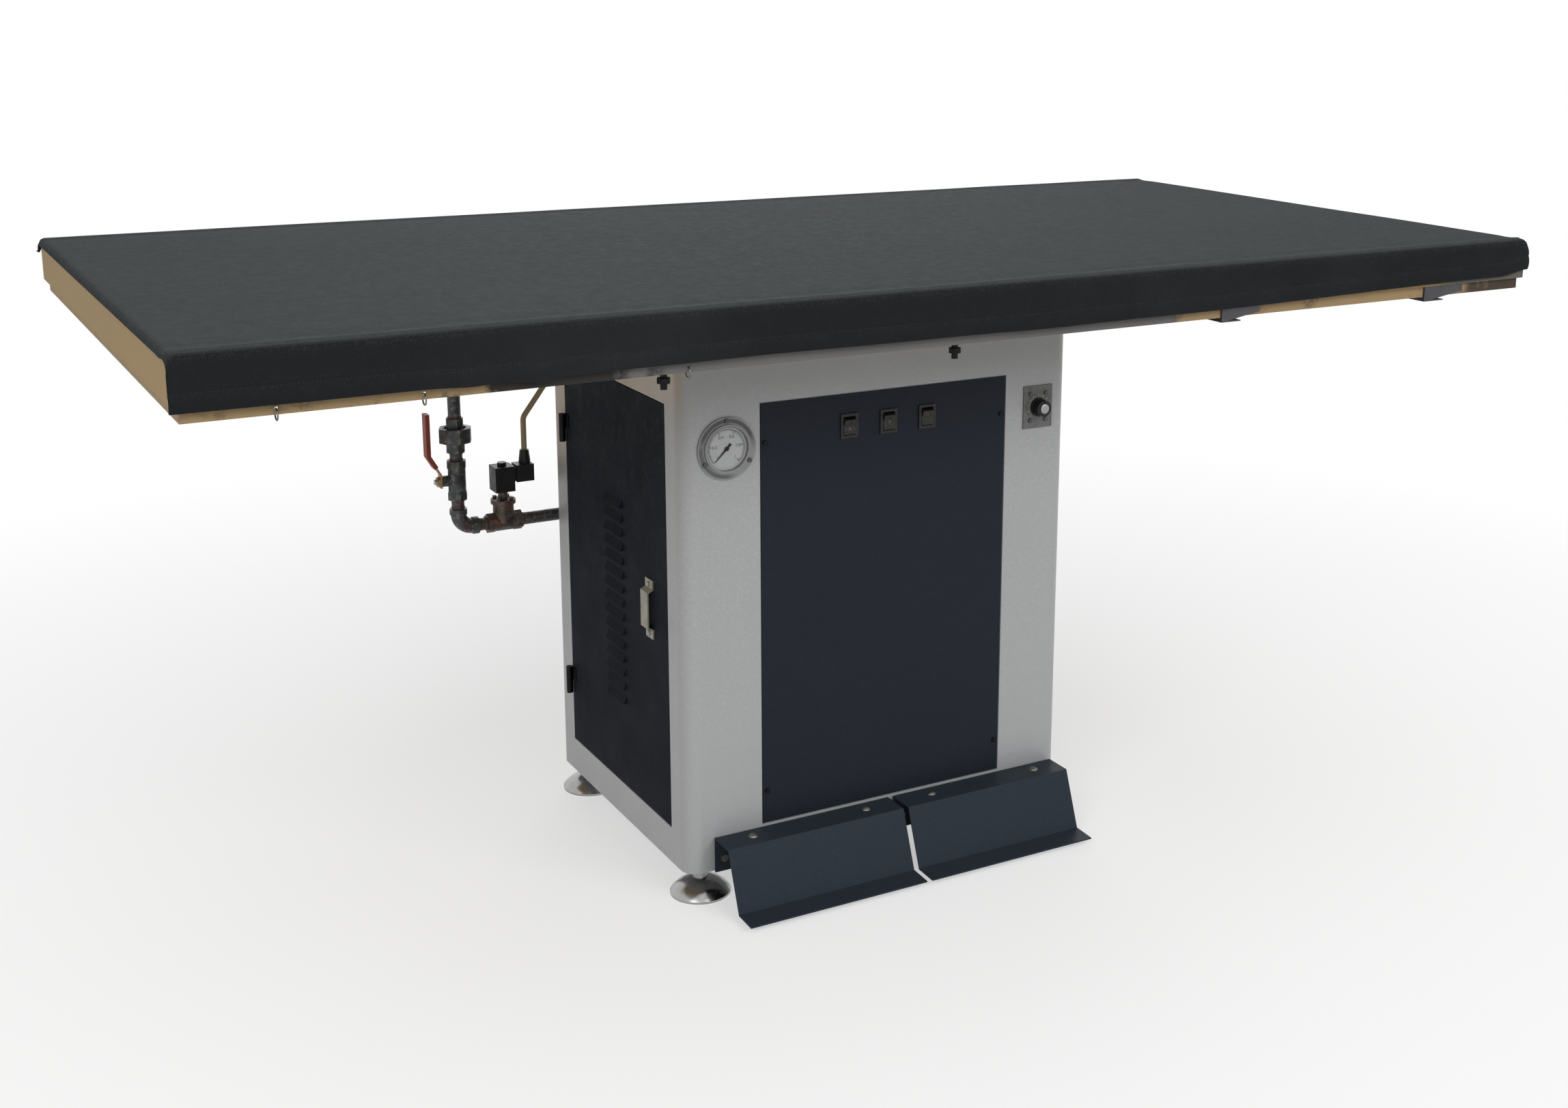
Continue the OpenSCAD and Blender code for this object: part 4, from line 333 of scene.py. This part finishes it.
def make_tan_paints():
    """The top box, with painted shade at its far front corner, and its rail, stained, greyed over the
    cabinet, and with painted shade left of the grey and at its right end.
    """
    grain = ((300, 3), 0.15, 0.0006)
    tan = mottled("tan_paint", (150, 126, 85), 0.6, ((3, 4), 0.45, 0.75, 0.5, (145, 120, 81)), grain,
                  Specular_IOR_Level=0.12)
    tan.blotch(tan.ramp(tan.noise(40, 5, 0.7), 0.6, 0.75, 0, 0.4), lin(122, 104, 80))
    # painted shade: the box's front darkens towards its right end, in the shade under the flap
    far = tan.ramp(tan.axis("X"), 0.72, 0.78, 0, 0.9)
    tan.blotch(tan.product(far, tan.ramp(tan.axis("Y"), -0.43, -0.44)), lin(84, 83, 81))
    M["tan"] = tan
    rail = mottled("rail_paint", (145, 124, 92), 0.6, ((3, 4), 0.45, 0.75, 0.5, (138, 118, 88)), grain,
                   Specular_IOR_Level=0.12)
    rail.blotch(rail.ramp(rail.noise(26, 5, 0.75), 0.56, 0.68, 0, 0.7), lin(96, 78, 62))
    ragged = rail.ramp(rail.noise(24, 4, 0.65), 0.3, 0.7, -0.05, 0.05)
    along = rail.math("ADD", rail.axis("X"), ragged)
    until_post = rail.ramp(along, 0.33, 0.28)
    # painted shade: the rail turns near black from about x -0.6 to the cabinet, where it lies in deep shadow;
    # the grey part then covers it over the cabinet
    rail.blotch(rail.product(rail.ramp(along, -0.62, -0.59), until_post), lin(46, 44, 42))
    rail.blotch(rail.product(rail.ramp(along, -0.45, -0.41), until_post), lin(98, 97, 96))
    # painted shade: the rail darkens at its right end, in the shade of the flap
    rail.blotch(rail.ramp(along, 0.78, 0.84, 0, 0.9), lin(48, 44, 40))
    M["rail"] = rail


def make_materials():
    make_powder_coats()
    make_tan_paints()
    for key, (name, colour, rough) in METALS.items():
        M[key] = sheet_metal(name, lin(*colour), rough)
    for key, (name, colour, rough) in PLASTICS.items():
        M[key] = plastic(name, lin(*colour), rough)
    M["lamp"].bsdf.inputs["Coat Weight"].default_value = 0.6
    M["steel"] = sheet_metal("sheet_steel", lin(168, 170, 172), 0.42, ROLLED)
    # the second, dark colour is the painted shade of the cloth where it hangs
    M["cloth"] = weave_material("cover_cloth", lin(62, 67, 68), lin(29, 30, 32), lin(84, 88, 88))
    M["pipe"] = pipe_metal("pipe_iron", lin(66, 69, 69), lin(104, 62, 48), lin(104, 107, 107), 0.04)
    M["brass"] = pipe_metal("cast_brass", lin(74, 66, 61), lin(110, 66, 52), lin(98, 98, 96), 0.0)
    M["felt"] = mottled("felt", (196, 192, 182), 0.95,
                        ((120, 5, 0.7), 0.45, 0.7, 0.6, (160, 156, 148)), ((500, 4, 0.7), 0.6, 0.002))
    M["pull"] = mottled("pull_plate", (150, 146, 132), 0.5,
                        ((50, 4, 0.7), 0.45, 0.65, 0.7, (118, 114, 104)), ((220, 3), 0.1, 0.0004), 0.4)
    M["plate"] = mottled("thermostat_plate", (98, 99, 98), 0.5,
                         ((70, 4, 0.7), 0.5, 0.66, 0.7, (70, 71, 70)), ((300, 3), 0.1, 0.0004),
                         Specular_IOR_Level=0.3)
    M["dial"] = mottled("dial_white", (168, 170, 170), 0.5,
                        ((60, 4), 0.5, 0.8, 0.4, (150, 152, 152)), ((300, 2), 0.05, 0.0002),
                        Specular_IOR_Level=0.2)
    M["seal"] = mottled("thread_sealant", (96, 70, 60), 0.7,
                        ((160, 5, 0.7), 0.45, 0.65, 0.8, (70, 50, 42)), ((240, 4, 0.7), 0.8, 0.002))
    chrome = mottled("chrome", (168, 168, 167), 0.16,
                     ((40, 5, 0.7), 0.5, 0.75, 0.5, (112, 110, 106)), ((90, 3), 0.06, 0.001), 1.0)
    M["chrome"] = chrome.rough(chrome.noise(55, 5, 0.65), 0.12, 0.34)
    glass = Mat("gauge_glass", (1, 1, 1), 0.03, Transmission_Weight=1.0, IOR=1.45, Alpha=0.14)
    M["glass"] = glass.rough(glass.noise(30, 4), 0.02, 0.12)


CAD_LOOKS = {
    "frame": ["cabinet_frame", "control_gear"],
    "navy": ["front_panel", "right_panel", "rear_panel"],
    "door": ["side_door"],
    "pedal": ["pedal_left", "pedal_right"],
    "tan": ["table_box"],
    "rail": ["underframe"],
    "steel": ["base_pan", "perforated_plate", "steam_coil", "air_duct", "fan_housing", "fan_stand",
              "pedal_shaft", "valve_ball"],
    "zinc": ["fan_wheel", "pedal_bearings"],
    "bolt": ["pedal_bolts_left", "pedal_bolts_right", "cover_hooks"],
    "plate": ["thermostat"],
    "pull": ["door_pull"],
    "dark_steel": ["control_screws", "edge_brackets"],
    "lever": ["valve_lever"],
    "blackmetal": ["table_bolts", "panel_screws", "frame_hinges", "door_hinges", "gauge_needle"],
    "black": ["thermostat_knob", "solenoid_coil", "solenoid_plug", "pedal_switches"],
    "bezel": ["switch_bezels"],
    "rocker": ["rocker_left", "rocker_middle", "rocker_right"],
    "pipe": ["steam_pipes", "pipe_union", "condensate_line", "fan_motor", "ball_valve"],
    "brass": ["solenoid_valve"],
    "tube": ["gauge_tube"],
    "red": ["valve_grip"],
    "dial": ["gauge_dial"],
    "glass": ["gauge_glass"],
    "cable": ["solenoid_lead"],
    "chrome": ["foot_front_left", "foot_front_right", "foot_rear_left", "foot_rear_right"],
    "felt": ["foam_pad"],
    "cloth": ["table_cover"],
}

BEVELS = {  # widths of the rounded edges, in metres
    0.0008: ["cabinet_frame", "front_panel", "right_panel", "rear_panel", "side_door", "pedal_left",
             "pedal_right", "table_box", "underframe", "door_pull", "edge_brackets", "switch_bezels",
             "thermostat", "control_gear"],
    0.0012: ["solenoid_coil", "solenoid_plug", "pipe_union", "ball_valve", "solenoid_valve"],
    0.0004: ["rocker_left", "rocker_middle", "rocker_right", "thermostat_knob", "valve_lever", "valve_grip",
             "pedal_bolts_left", "pedal_bolts_right", "panel_screws", "control_screws", "frame_hinges",
             "door_hinges", "table_bolts"],
}


def gauge_case_material():
    """Grey flange with a painted shadow in its groove, round a paler bezel ring with painted shade inside it;
    the parts are told apart by distance from the centre.
    """
    m = Mat("gauge_case", lin(128, 129, 130), 0.4, 0.2)
    dx = m.math("SUBTRACT", m.axis("X"), GAUGE.x)
    dz = m.math("SUBTRACT", m.axis("Z"), GAUGE.z)
    r = m.math("SQRT", m.math("ADD", m.product(dx, dx), m.product(dz, dz)))
    groove = m.product(m.ramp(r, 0.0325, 0.034), m.ramp(r, 0.0392, 0.0375))
    shaded_top = m.ramp(dz, -0.004, 0.016, 0, 0.9)
    shaded_corner = m.ramp(m.math("ADD", dx, dz), -0.02, -0.036, 0, 0.75)
    # painted shadow in the groove, at its top and its lower left
    m.blotch(m.product(groove, m.math("MAXIMUM", shaded_top, shaded_corner)), lin(52, 53, 54))
    inside_ring = m.ramp(r, 0.0295, 0.0285)
    # painted shade inside the bezel ring, deepest towards the top
    m.blotch(m.product(inside_ring, m.ramp(dz, -0.01, 0.02, 0.25, 0.8)), lin(70, 71, 72))
    m.blotch(m.ramp(m.noise(60, 4), 0.5, 0.8, 0, 0.4), lin(104, 105, 105))
    m.rough(m.noise(80, 4), 0.32, 0.5)
    m.bump(m.noise(200, 3), 0.08, 0.0004)
    return m


def cover_with(mesh, material):
    mesh.materials.clear()
    mesh.materials.append(material.m)


def dress_cad():
    for look, names in CAD_LOOKS.items():
        for name in names:
            cover_with(nodes[name].data, M[look])
    cover_with(nodes["gauge_case"].data, gauge_case_material())
    for width, names in BEVELS.items():
        for name in names:
            edge = nodes[name].modifiers.new("edge", "BEVEL")
            edge.width = width
            edge.segments = 2
            edge.limit_method = "ANGLE"
            edge.angle_limit = math.radians(40)
            edge.harden_normals = False


# ---------------------------------------------------------------- mesh helpers
def mesh_object(name, verts, faces, material, body="cabinet", smooth=True):
    me = bpy.data.meshes.new(name)
    me.from_pydata([tuple(v) for v in verts], [], faces)
    me.validate()
    me.update()
    me.materials.append(material.m)
    if smooth:
        me.polygons.foreach_set("use_smooth", [True] * len(me.polygons))
    o = add_object(name, me)
    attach(o, body)
    return o


def smooth_step(a, b, s):
    t = min(1.0, max(0.0, (s - a) / (b - a)))
    return t * t * (3 - 2 * t)


def hump(centre, width, s):
    return math.exp(-((s - centre) / width) ** 2)


# ---------------------------------------------------------------- cover cloth
TOP_L, TOP_D, TOP_Z = 1.836, 0.915, 0.830  # length, depth and height over the cloth
CROWN, EDGE_R, END_R = 0.0025, 0.011, 0.008
COVER_T = 0.0025
FLAP_DROP, REAR_DROP = 0.061, 0.056  # from the top down to the front and rear hems
HEM_H = 0.0192  # height of the drawstring channel
STITCH_UP = 0.0195  # from the front hem's lower edge up to the row of stitches
FLAP_ROWS, ARC_ROWS, TOP_ROWS = 24, 7, 90


def flap_z(s):
    """Height of the front hem at s, which runs from -1 at the left end of the table to 1."""
    z = TOP_Z - FLAP_DROP + 0.008 * smooth_step(0.3, 0.92, s) + 0.007 * smooth_step(0.94, 1, s)
    z += -0.002 * hump(-0.68, 0.03, s) - 0.004 * hump(-0.6, 0.02, s)
    z += 0.001 * hump(-0.3, 0.1, s) - 0.001 * hump(0.1, 0.08, s)
    return z


def flap_out(s):
    return (0.001 * hump(-0.8, 0.1, s) - 0.0005 * hump(-0.45, 0.12, s)
            + 0.001 * hump(0.2, 0.15, s) + 0.001 * hump(0.75, 0.1, s))


def hem_out(up, x):
    """How far the drawstring channel in the hem stands out at a height above the cloth's lower edge."""
    if up > HEM_H:
        return 0.0004 * hump(0.0225, 0.002, up)
    lump = 1 + 0.35 * noise.noise(Vector((x * 34, 1.7, 0)))
    return 0.0021 * lump * math.sin(math.pi * up / HEM_H) ** 0.7 if up > 0 else 0.0


def cover_profile(s):
    """(y, z, hang) points of the cloth's outer face at s along the table, from front hem to rear hem.

    hang is 0 on top and 1 at a hem.
    """
    x = s * TOP_L / 2
    past = max(0.0, abs(x) - (TOP_L / 2 - END_R))
    end_z = TOP_Z - (END_R - math.sqrt(max(0.0, END_R ** 2 - past * past)))
    arc_z = end_z - CROWN - EDGE_R
    front_z = flap_z(s)
    y0 = TOP_D / 2
    pts = []
    for i in range(FLAP_ROWS):
        t = i / FLAP_ROWS
        z = front_z + (arc_z - front_z) * t
        pts.append((-y0 - flap_out(s) * (1 - t) - hem_out(z - front_z, x), z, 1 - t))
    for i in range(ARC_ROWS + 1):
        a = math.pi / 2 * i / ARC_ROWS
        pts.append((-y0 + EDGE_R * (1 - math.cos(a)), arc_z + EDGE_R * math.sin(a), 0))
    half = y0 - EDGE_R
    for i in range(1, TOP_ROWS):
        u = 2 * i / TOP_ROWS - 1
        y = half * (0.5 * u + 0.5 * math.sin(math.pi / 2 * u))
        rise = CROWN * (1 - (2 * y / TOP_D) ** 2) * (1 - s ** 8) - CROWN
        rise += 0.0013 * hump(half - 0.004, 0.008, abs(y)) - 0.0006 * hump(half - 0.026, 0.012, abs(y))
        pts.append((y, end_z + rise, 0))
    for i in range(ARC_ROWS, -1, -1):
        a = math.pi / 2 * i / ARC_ROWS
        pts.append((y0 - EDGE_R * (1 - math.cos(a)), arc_z + EDGE_R * math.sin(a), 0))
    rear_z = min(TOP_Z - REAR_DROP + 0.044 * smooth_step(0.97, 0.993, -s), arc_z - 0.0015)
    for i in range(1, FLAP_ROWS + 1):
        t = i / FLAP_ROWS
        z = arc_z + (rear_z - arc_z) * t
        pts.append((y0 + hem_out(z - rear_z, x + 5) * (1 - smooth_step(0.97, 1, -s)), z, t))
    return pts


def rippled_ring(s):
    """cover_profile at s as vectors, with the slight ripples of hung and stretched cloth."""
    x = s * TOP_L / 2
    ring = []
    for y, z, hang in cover_profile(s):
        broad = noise.noise(Vector((x * 7, y * 5, z * 9)))
        small = noise.noise(Vector((x * 22, y * 9 + 4, z * 14)))
        if hang > 0:
            side = -1 if y < 0 else 1
            y += side * hang * (0.0014 * broad + 0.0007 * small)
        else:
            z += 0.0004 * broad - 0.0003
        ring.append(Vector((x, y, z)))
    return ring


def make_cover():
    """The cloth as one sheet in rings across the table, which lie closer together at its two ends."""
    cols = 460
    grid = []
    for i in range(cols + 1):
        s = 2 * i / cols - 1
        grid.append(rippled_ring(math.sin(math.pi / 2 * s) * 0.15 + s * 0.85))
    n = len(grid[0])
    faces = []
    for i in range(cols):
        for j in range(n - 1):
            a = i * n + j
            faces.append((a, a + n, a + n + 1, a + 1))
    o = mesh_object("cover_cloth", [v for ring in grid for v in ring], faces, M["cloth"])
    thick = o.modifiers.new("cloth", "SOLIDIFY")
    thick.thickness = COVER_T
    thick.offset = -1
    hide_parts("table_cover")
    stitches = hem_stitches(grid)


def make_pad():
    """Pressed felt in place of the CAD pad: the same outline with soft, slightly uneven sides."""
    bm = bmesh.new()
    bm.from_mesh(nodes["foam_pad"].data)
    bmesh.ops.triangulate(bm, faces=bm.faces)
    long_edges = [e for e in bm.edges if e.calc_length() > 0.03]
    bmesh.ops.subdivide_edges(bm, edges=long_edges, cuts=2, use_grid_fill=True)
    for v in bm.verts:
        inset = 0.0003 + 0.0003 * noise.noise(v.co * 60)
        v.co.x -= math.copysign(inset, v.co.x)
        v.co.y -= math.copysign(inset, v.co.y)
    me = bpy.data.meshes.new("felt_pad")
    bm.to_mesh(me)
    bm.free()
    cover_with(me, M["felt"])
    o = add_object("felt_pad", me)
    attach(o, "cabinet")
    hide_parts("foam_pad")


STITCH_STEP = 0.0042
STITCH_HALF, STITCH_W, STITCH_RISE, STITCH_LIFT = 0.0014, 0.00035, 0.0005, 0.0001


def hem_stitches(grid):
    """A row of short stitches along the hem of the front flap."""
    path = []
    for ring in grid:
        base = ring[0].z
        for low, high in zip(ring, ring[1:]):
            if high.z - base > STITCH_UP:
                f = (STITCH_UP - (low.z - base)) / max(1e-6, high.z - low.z)
                path.append(low.lerp(high, f))
                break
    ends = ((-STITCH_HALF, 0, 0), (STITCH_HALF, 0, 0))
    sides = ((0, -STITCH_W, STITCH_RISE), (0, STITCH_W, STITCH_RISE))
    outline = (ends[0], sides[0], ends[1], sides[1])
    verts, faces = [], []
    along = 0.0
    for a, b in zip(path, path[1:]):
        length = (b - a).length
        while along < length:
            p = a.lerp(b, along / length)
            d = (b - a).normalized()
            k = len(verts)
            for u, v, out in outline:
                verts.append(p + d * u + Vector((0, -out - STITCH_LIFT, v)))
            faces.append((k, k + 1, k + 2, k + 3))
            along += STITCH_STEP
        along -= length
    o = mesh_object("hem_stitches", verts, faces, M["thread"], smooth=False)
    return o


# ---------------------------------------------------------------- controls
SCALE_START, SCALE_END = 225, -45  # degrees, for the gauge and the thermostat alike
GAUGE_TICKS, GAUGE_R, NUMBER_R = 50, 24.6, 16.4  # radii in mm
THERMO_TICKS = 10
NUMBERS = ("0", "0.2", "0.4", "0.6", "0.8", "1")
ROCKERS = (  # node, its middle along X, and how far its lens lies above ROCKER_Z
    ("rocker_left", -0.0545, -0.004),
    ("rocker_middle", 0.004, 0.0),
    ("rocker_right", 0.0625, 0.0035),
)
ROCKER_Z = 0.6155


def flat_marks(name, shapes, at, depth, material):
    """Thin printed shapes on a face that looks to -Y: each is a ring of (x, z) points in mm from a centre."""
    verts, faces = [], []
    for ring in shapes:
        k = len(verts)
        for x, z in ring:
            verts.append(at + Vector((x * MM, -depth * MM, z * MM)))
        faces.append(tuple(range(k, k + len(ring))))
    return mesh_object(name, verts, faces, material, smooth=False)


def scale_angle(i, parts):
    """The angle of mark i on a scale divided into parts."""
    return SCALE_START + (SCALE_END - SCALE_START) * i / parts


def tick(angle, r0, r1, half):
    """A radial mark from r0 to r1, half of whose width is half."""
    a = math.radians(angle)
    u, v = Vector((math.cos(a), math.sin(a))), Vector((-math.sin(a), math.cos(a)))
    return [tuple(u * r + v * side) for r, side in ((r0, -half), (r1, -half), (r1, half), (r0, half))]


def arc_strips(r, half, n):
    """A thin arc over the whole scale, in n short strips."""
    inner, outer = r - half, r + half
    strips = []
    for i in range(n):
        a, b = (math.radians(scale_angle(i + k, n)) for k in (0, 1))
        corners = ((inner, a), (outer, a), (outer, b), (inner, b))
        strips.append([(d * math.cos(angle), d * math.sin(angle)) for d, angle in corners])
    return strips


def digits(name, text, x, z, size, at, depth, material):
    """A number set flat on a face that looks to -Y."""
    c = bpy.data.curves.new(name, "FONT")
    c.body = text
    c.size = size * MM
    c.align_x = "CENTER"
    c.align_y = "CENTER"
    src = add_object(name + "_src", c)
    bpy.context.view_layer.update()
    me = bpy.data.meshes.new_from_object(src.evaluated_get(bpy.context.evaluated_depsgraph_get()))
    bpy.data.objects.remove(src)
    for v in me.vertices:
        v.co = at + Vector((v.co.x + x * MM, -depth * MM, v.co.y + z * MM))
    cover_with(me, material)
    o = add_object(name, me)
    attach(o, "cabinet")


def face_depth(node, x, z):
    """How far in front of the cabinet's face a node's surface lies at one place, in mm."""
    hit, place, _, _ = nodes[node].ray_cast(Vector((x, -1, z)), Vector((0, 1, 0)))
    return (FRONT_Y - place.y) / MM if hit else 0.0


def domed_disc(name, at, depth, radius, rise, material, body):
    """A low dome that looks to -Y, flattened in the middle; sizes in mm."""
    rings, n = 5, 40
    verts, faces = [at + Vector((0, -(depth + rise) * MM, 0))], []
    for j in range(1, rings + 1):
        r = radius * j / rings
        h = rise * math.sqrt(max(0.0, 1 - (j / rings) ** 4))
        for i in range(n):
            a = 2 * math.pi * i / n
            verts.append(at + Vector((r * math.cos(a) * MM, -(depth + h) * MM, r * math.sin(a) * MM)))
    for i in range(n):
        k = (i + 1) % n
        faces.append((0, 1 + i, 1 + k))
        for j in range(rings - 1):
            a, b = 1 + j * n + i, 1 + j * n + k
            faces.append((a, a + n, b + n, b))
    return mesh_object(name, verts, faces, material, body)


def make_gauge_print():
    marks = arc_strips(GAUGE_R, 0.3, 60)
    for i in range(GAUGE_TICKS + 1):
        major = i % 10 == 0
        inner = 20.4 if major else 21.6 if i % 5 == 0 else 22.6
        marks.append(tick(scale_angle(i, GAUGE_TICKS), inner, GAUGE_R, 0.44 if major else 0.24))
    face = face_depth("gauge_dial", GAUGE.x + 0.02, GAUGE.z + 0.002) + PRINT_LIFT
    o = flat_marks("gauge_scale", marks, GAUGE, face, M["print"])
    for i, text in enumerate(NUMBERS):
        a = math.radians(scale_angle(i, len(NUMBERS) - 1))
        x, z = NUMBER_R * math.cos(a), NUMBER_R * math.sin(a)
        digits("gauge_number_%d" % i, text, x, z, 5.8, GAUGE, face, M["print"])


def make_thermostat_trim():
    face = face_depth("thermostat", THERMO.x + 0.016, THERMO.z) + PRINT_LIFT
    marks = [tick(scale_angle(i, THERMO_TICKS), 15.6, 19.0, 0.42) for i in range(THERMO_TICKS + 1)]
    marks += arc_strips(14.6, 0.2, 40)
    o = flat_marks("thermostat_scale", marks, THERMO, face, M["pale_print"])
    face = face_depth("thermostat_knob", THERMO.x + 0.003, THERMO.z + 0.003)
    o = domed_disc("knob_cap", THERMO, face + 0.04, 6.6, 0.7, M["cap"], "knob")


def make_rocker_lenses():
    """A small lens on each rocker, 2.6 x 4 mm, laid along its tilted face."""
    for i, (node, x, rise) in enumerate(ROCKERS, 1):
        at = Vector((x, FRONT_Y, ROCKER_Z + rise))
        low, high = (face_depth(node, x, at.z + k) for k in (-0.002, 0.002))
        verts = []
        for u, v, d in ((-1.3, -2, low), (1.3, -2, low), (1.3, 2, high), (-1.3, 2, high)):
            verts.append(at + Vector((u * MM, -(d + 0.12) * MM, v * MM)))
        o = mesh_object("rocker_lens_%d" % i, verts, [(0, 1, 2, 3)], M["lamp"], "rocker_%d" % i, smooth=False)


# ---------------------------------------------------------------- steam line dressing
RISER = Vector((-0.413, 0.2858, 0.398))  # where the riser's axis meets the horizontal pipe's
BEAD_R, BEAD_W = 0.009, 0.004
# The pipe's direction and the place from RISER, for each bead.
BEADS = [("z", Vector((0, 0, up))) for up in (0.0305, 0.0405, 0.1015, 0.1105, 0.1635)]
BEADS += [("x", Vector((out, 0, 0))) for out in (0.0295, 0.039, 0.0945, 0.1565)]


def sealant_ring(name, centre, axis, seed):
    """A rough bead of dried thread sealant round a pipe where it enters a fitting."""
    verts, faces = [], []
    n, rows = 28, 5
    for i in range(n):
        a = 2 * math.pi * i / n
        cos, sin = math.cos(a), math.sin(a)
        for j in range(rows):
            t = j / (rows - 1)
            lump = 1 + 0.8 * noise.noise(Vector((cos * 3, sin * 3, seed + t)))
            r = BEAD_R + 0.0001 + max(0, 0.0006 * math.sin(math.pi * t) * lump)
            w = BEAD_W * (t - 0.5) * (1 + 0.35 * noise.noise(Vector((cos * 2 + 5, sin * 2, seed))))
            c, d = r * cos, r * sin
            verts.append(centre + (Vector((c, d, w)) if axis == "z" else Vector((w, c, d))))
    for i in range(n):
        for j in range(rows - 1):
            a, b = i * rows + j, ((i + 1) % n) * rows + j
            faces.append((a, b, b + 1, a + 1))
    o = mesh_object(name, verts, faces, M["seal"])


def make_line_dressing():
    for i, (axis, offset) in enumerate(BEADS):
        sealant_ring("sealant_%d" % (i + 1), RISER + offset, axis, i * 3.1)


# ---------------------------------------------------------------- stage
def plain_rays(tree):
    """1 for what the camera, gloss and glass show, and 0 for the light that falls on the table."""
    rays = tree.nodes.new("ShaderNodeLightPath")
    seen = rays.outputs["Is Camera Ray"]
    for kind in ("Is Glossy Ray", "Is Transmission Ray"):
        either = tree.nodes.new("ShaderNodeMath")
        either.operation = "MAXIMUM"
        tree.links.new(seen, either.inputs[0])
        tree.links.new(rays.outputs[kind], either.inputs[1])
        seen = either.outputs[0]
    return seen


def mix_shaders(tree, fac, first, second, output):
    mix = tree.nodes.new("ShaderNodeMixShader")
    for socket, source in enumerate((fac, first.outputs[0], second.outputs[0])):
        tree.links.new(source, mix.inputs[socket])
    tree.links.new(mix.outputs[0], tree.nodes[output].inputs["Surface"])


def make_floor():
    """A pale floor that keeps the shadow and turns to plain white away from the table."""
    bpy.ops.mesh.primitive_plane_add(size=60, location=(0, 0, 0))
    floor = bpy.context.object
    floor.name = "floor"
    m = Mat("floor", (0.9, 0.9, 0.9), 0.9, Specular_IOR_Level=0.1)
    away = m.node("ShaderNodeVectorMath", operation="LENGTH")
    m.link(m.obj, away.inputs[0])
    fade = m.ramp(away.outputs["Value"], 0.6, 2.3, 0.5, 1)
    white = m.node("ShaderNodeEmission")
    mix_shaders(m.t, m.product(plain_rays(m.t), fade), m.bsdf, white, "Material Output")
    floor.data.materials.append(m.m)


def make_world():
    """A dim white world for light, seen as plain white."""
    world = bpy.data.worlds.new("studio")
    scene.world = world
    world.use_nodes = True
    tree = world.node_tree
    light, plain = tree.nodes["Background"], tree.nodes.new("ShaderNodeBackground")
    light.inputs["Strength"].default_value = 0.42
    for background in (light, plain):
        background.inputs["Color"].default_value = (1, 1, 1, 1)
    mix_shaders(tree, plain_rays(tree), light, plain, "World Output")


LIGHTS = {  # place, target, size, watts
    "key": ((1.1, -3.9, 2.9), (0, 0, 0.5), (3.0, 2.0), 84),
    "left": ((-3.4, -3.0, 3.1), (0, 0, 0.4), (2.4, 1.8), 84),
    "top": ((0.2, -0.4, 4.2), (0, 0, 0.6), (4.0, 3.0), 8),
    "back": ((1.8, 4.0, 2.2), (0, 0, 0.5), (3.0, 2.0), 40),
}


def make_lights():
    for name, (place, target, size, watts) in LIGHTS.items():
        data = bpy.data.lights.new(name, "AREA")
        data.shape = "RECTANGLE"
        data.size, data.size_y = size
        data.energy = watts
        o = add_object(name, data)
        o.location = place
        o.rotation_euler = (Vector(target) - Vector(place)).to_track_quat("-Z", "Y").to_euler()


make_camera()
make_floor()
make_world()
make_lights()
make_materials()
dress_cad()
make_pad()
make_cover()
make_gauge_print()
make_thermostat_trim()
make_rocker_lenses()
make_line_dressing()

scene.view_settings.view_transform = "Standard"
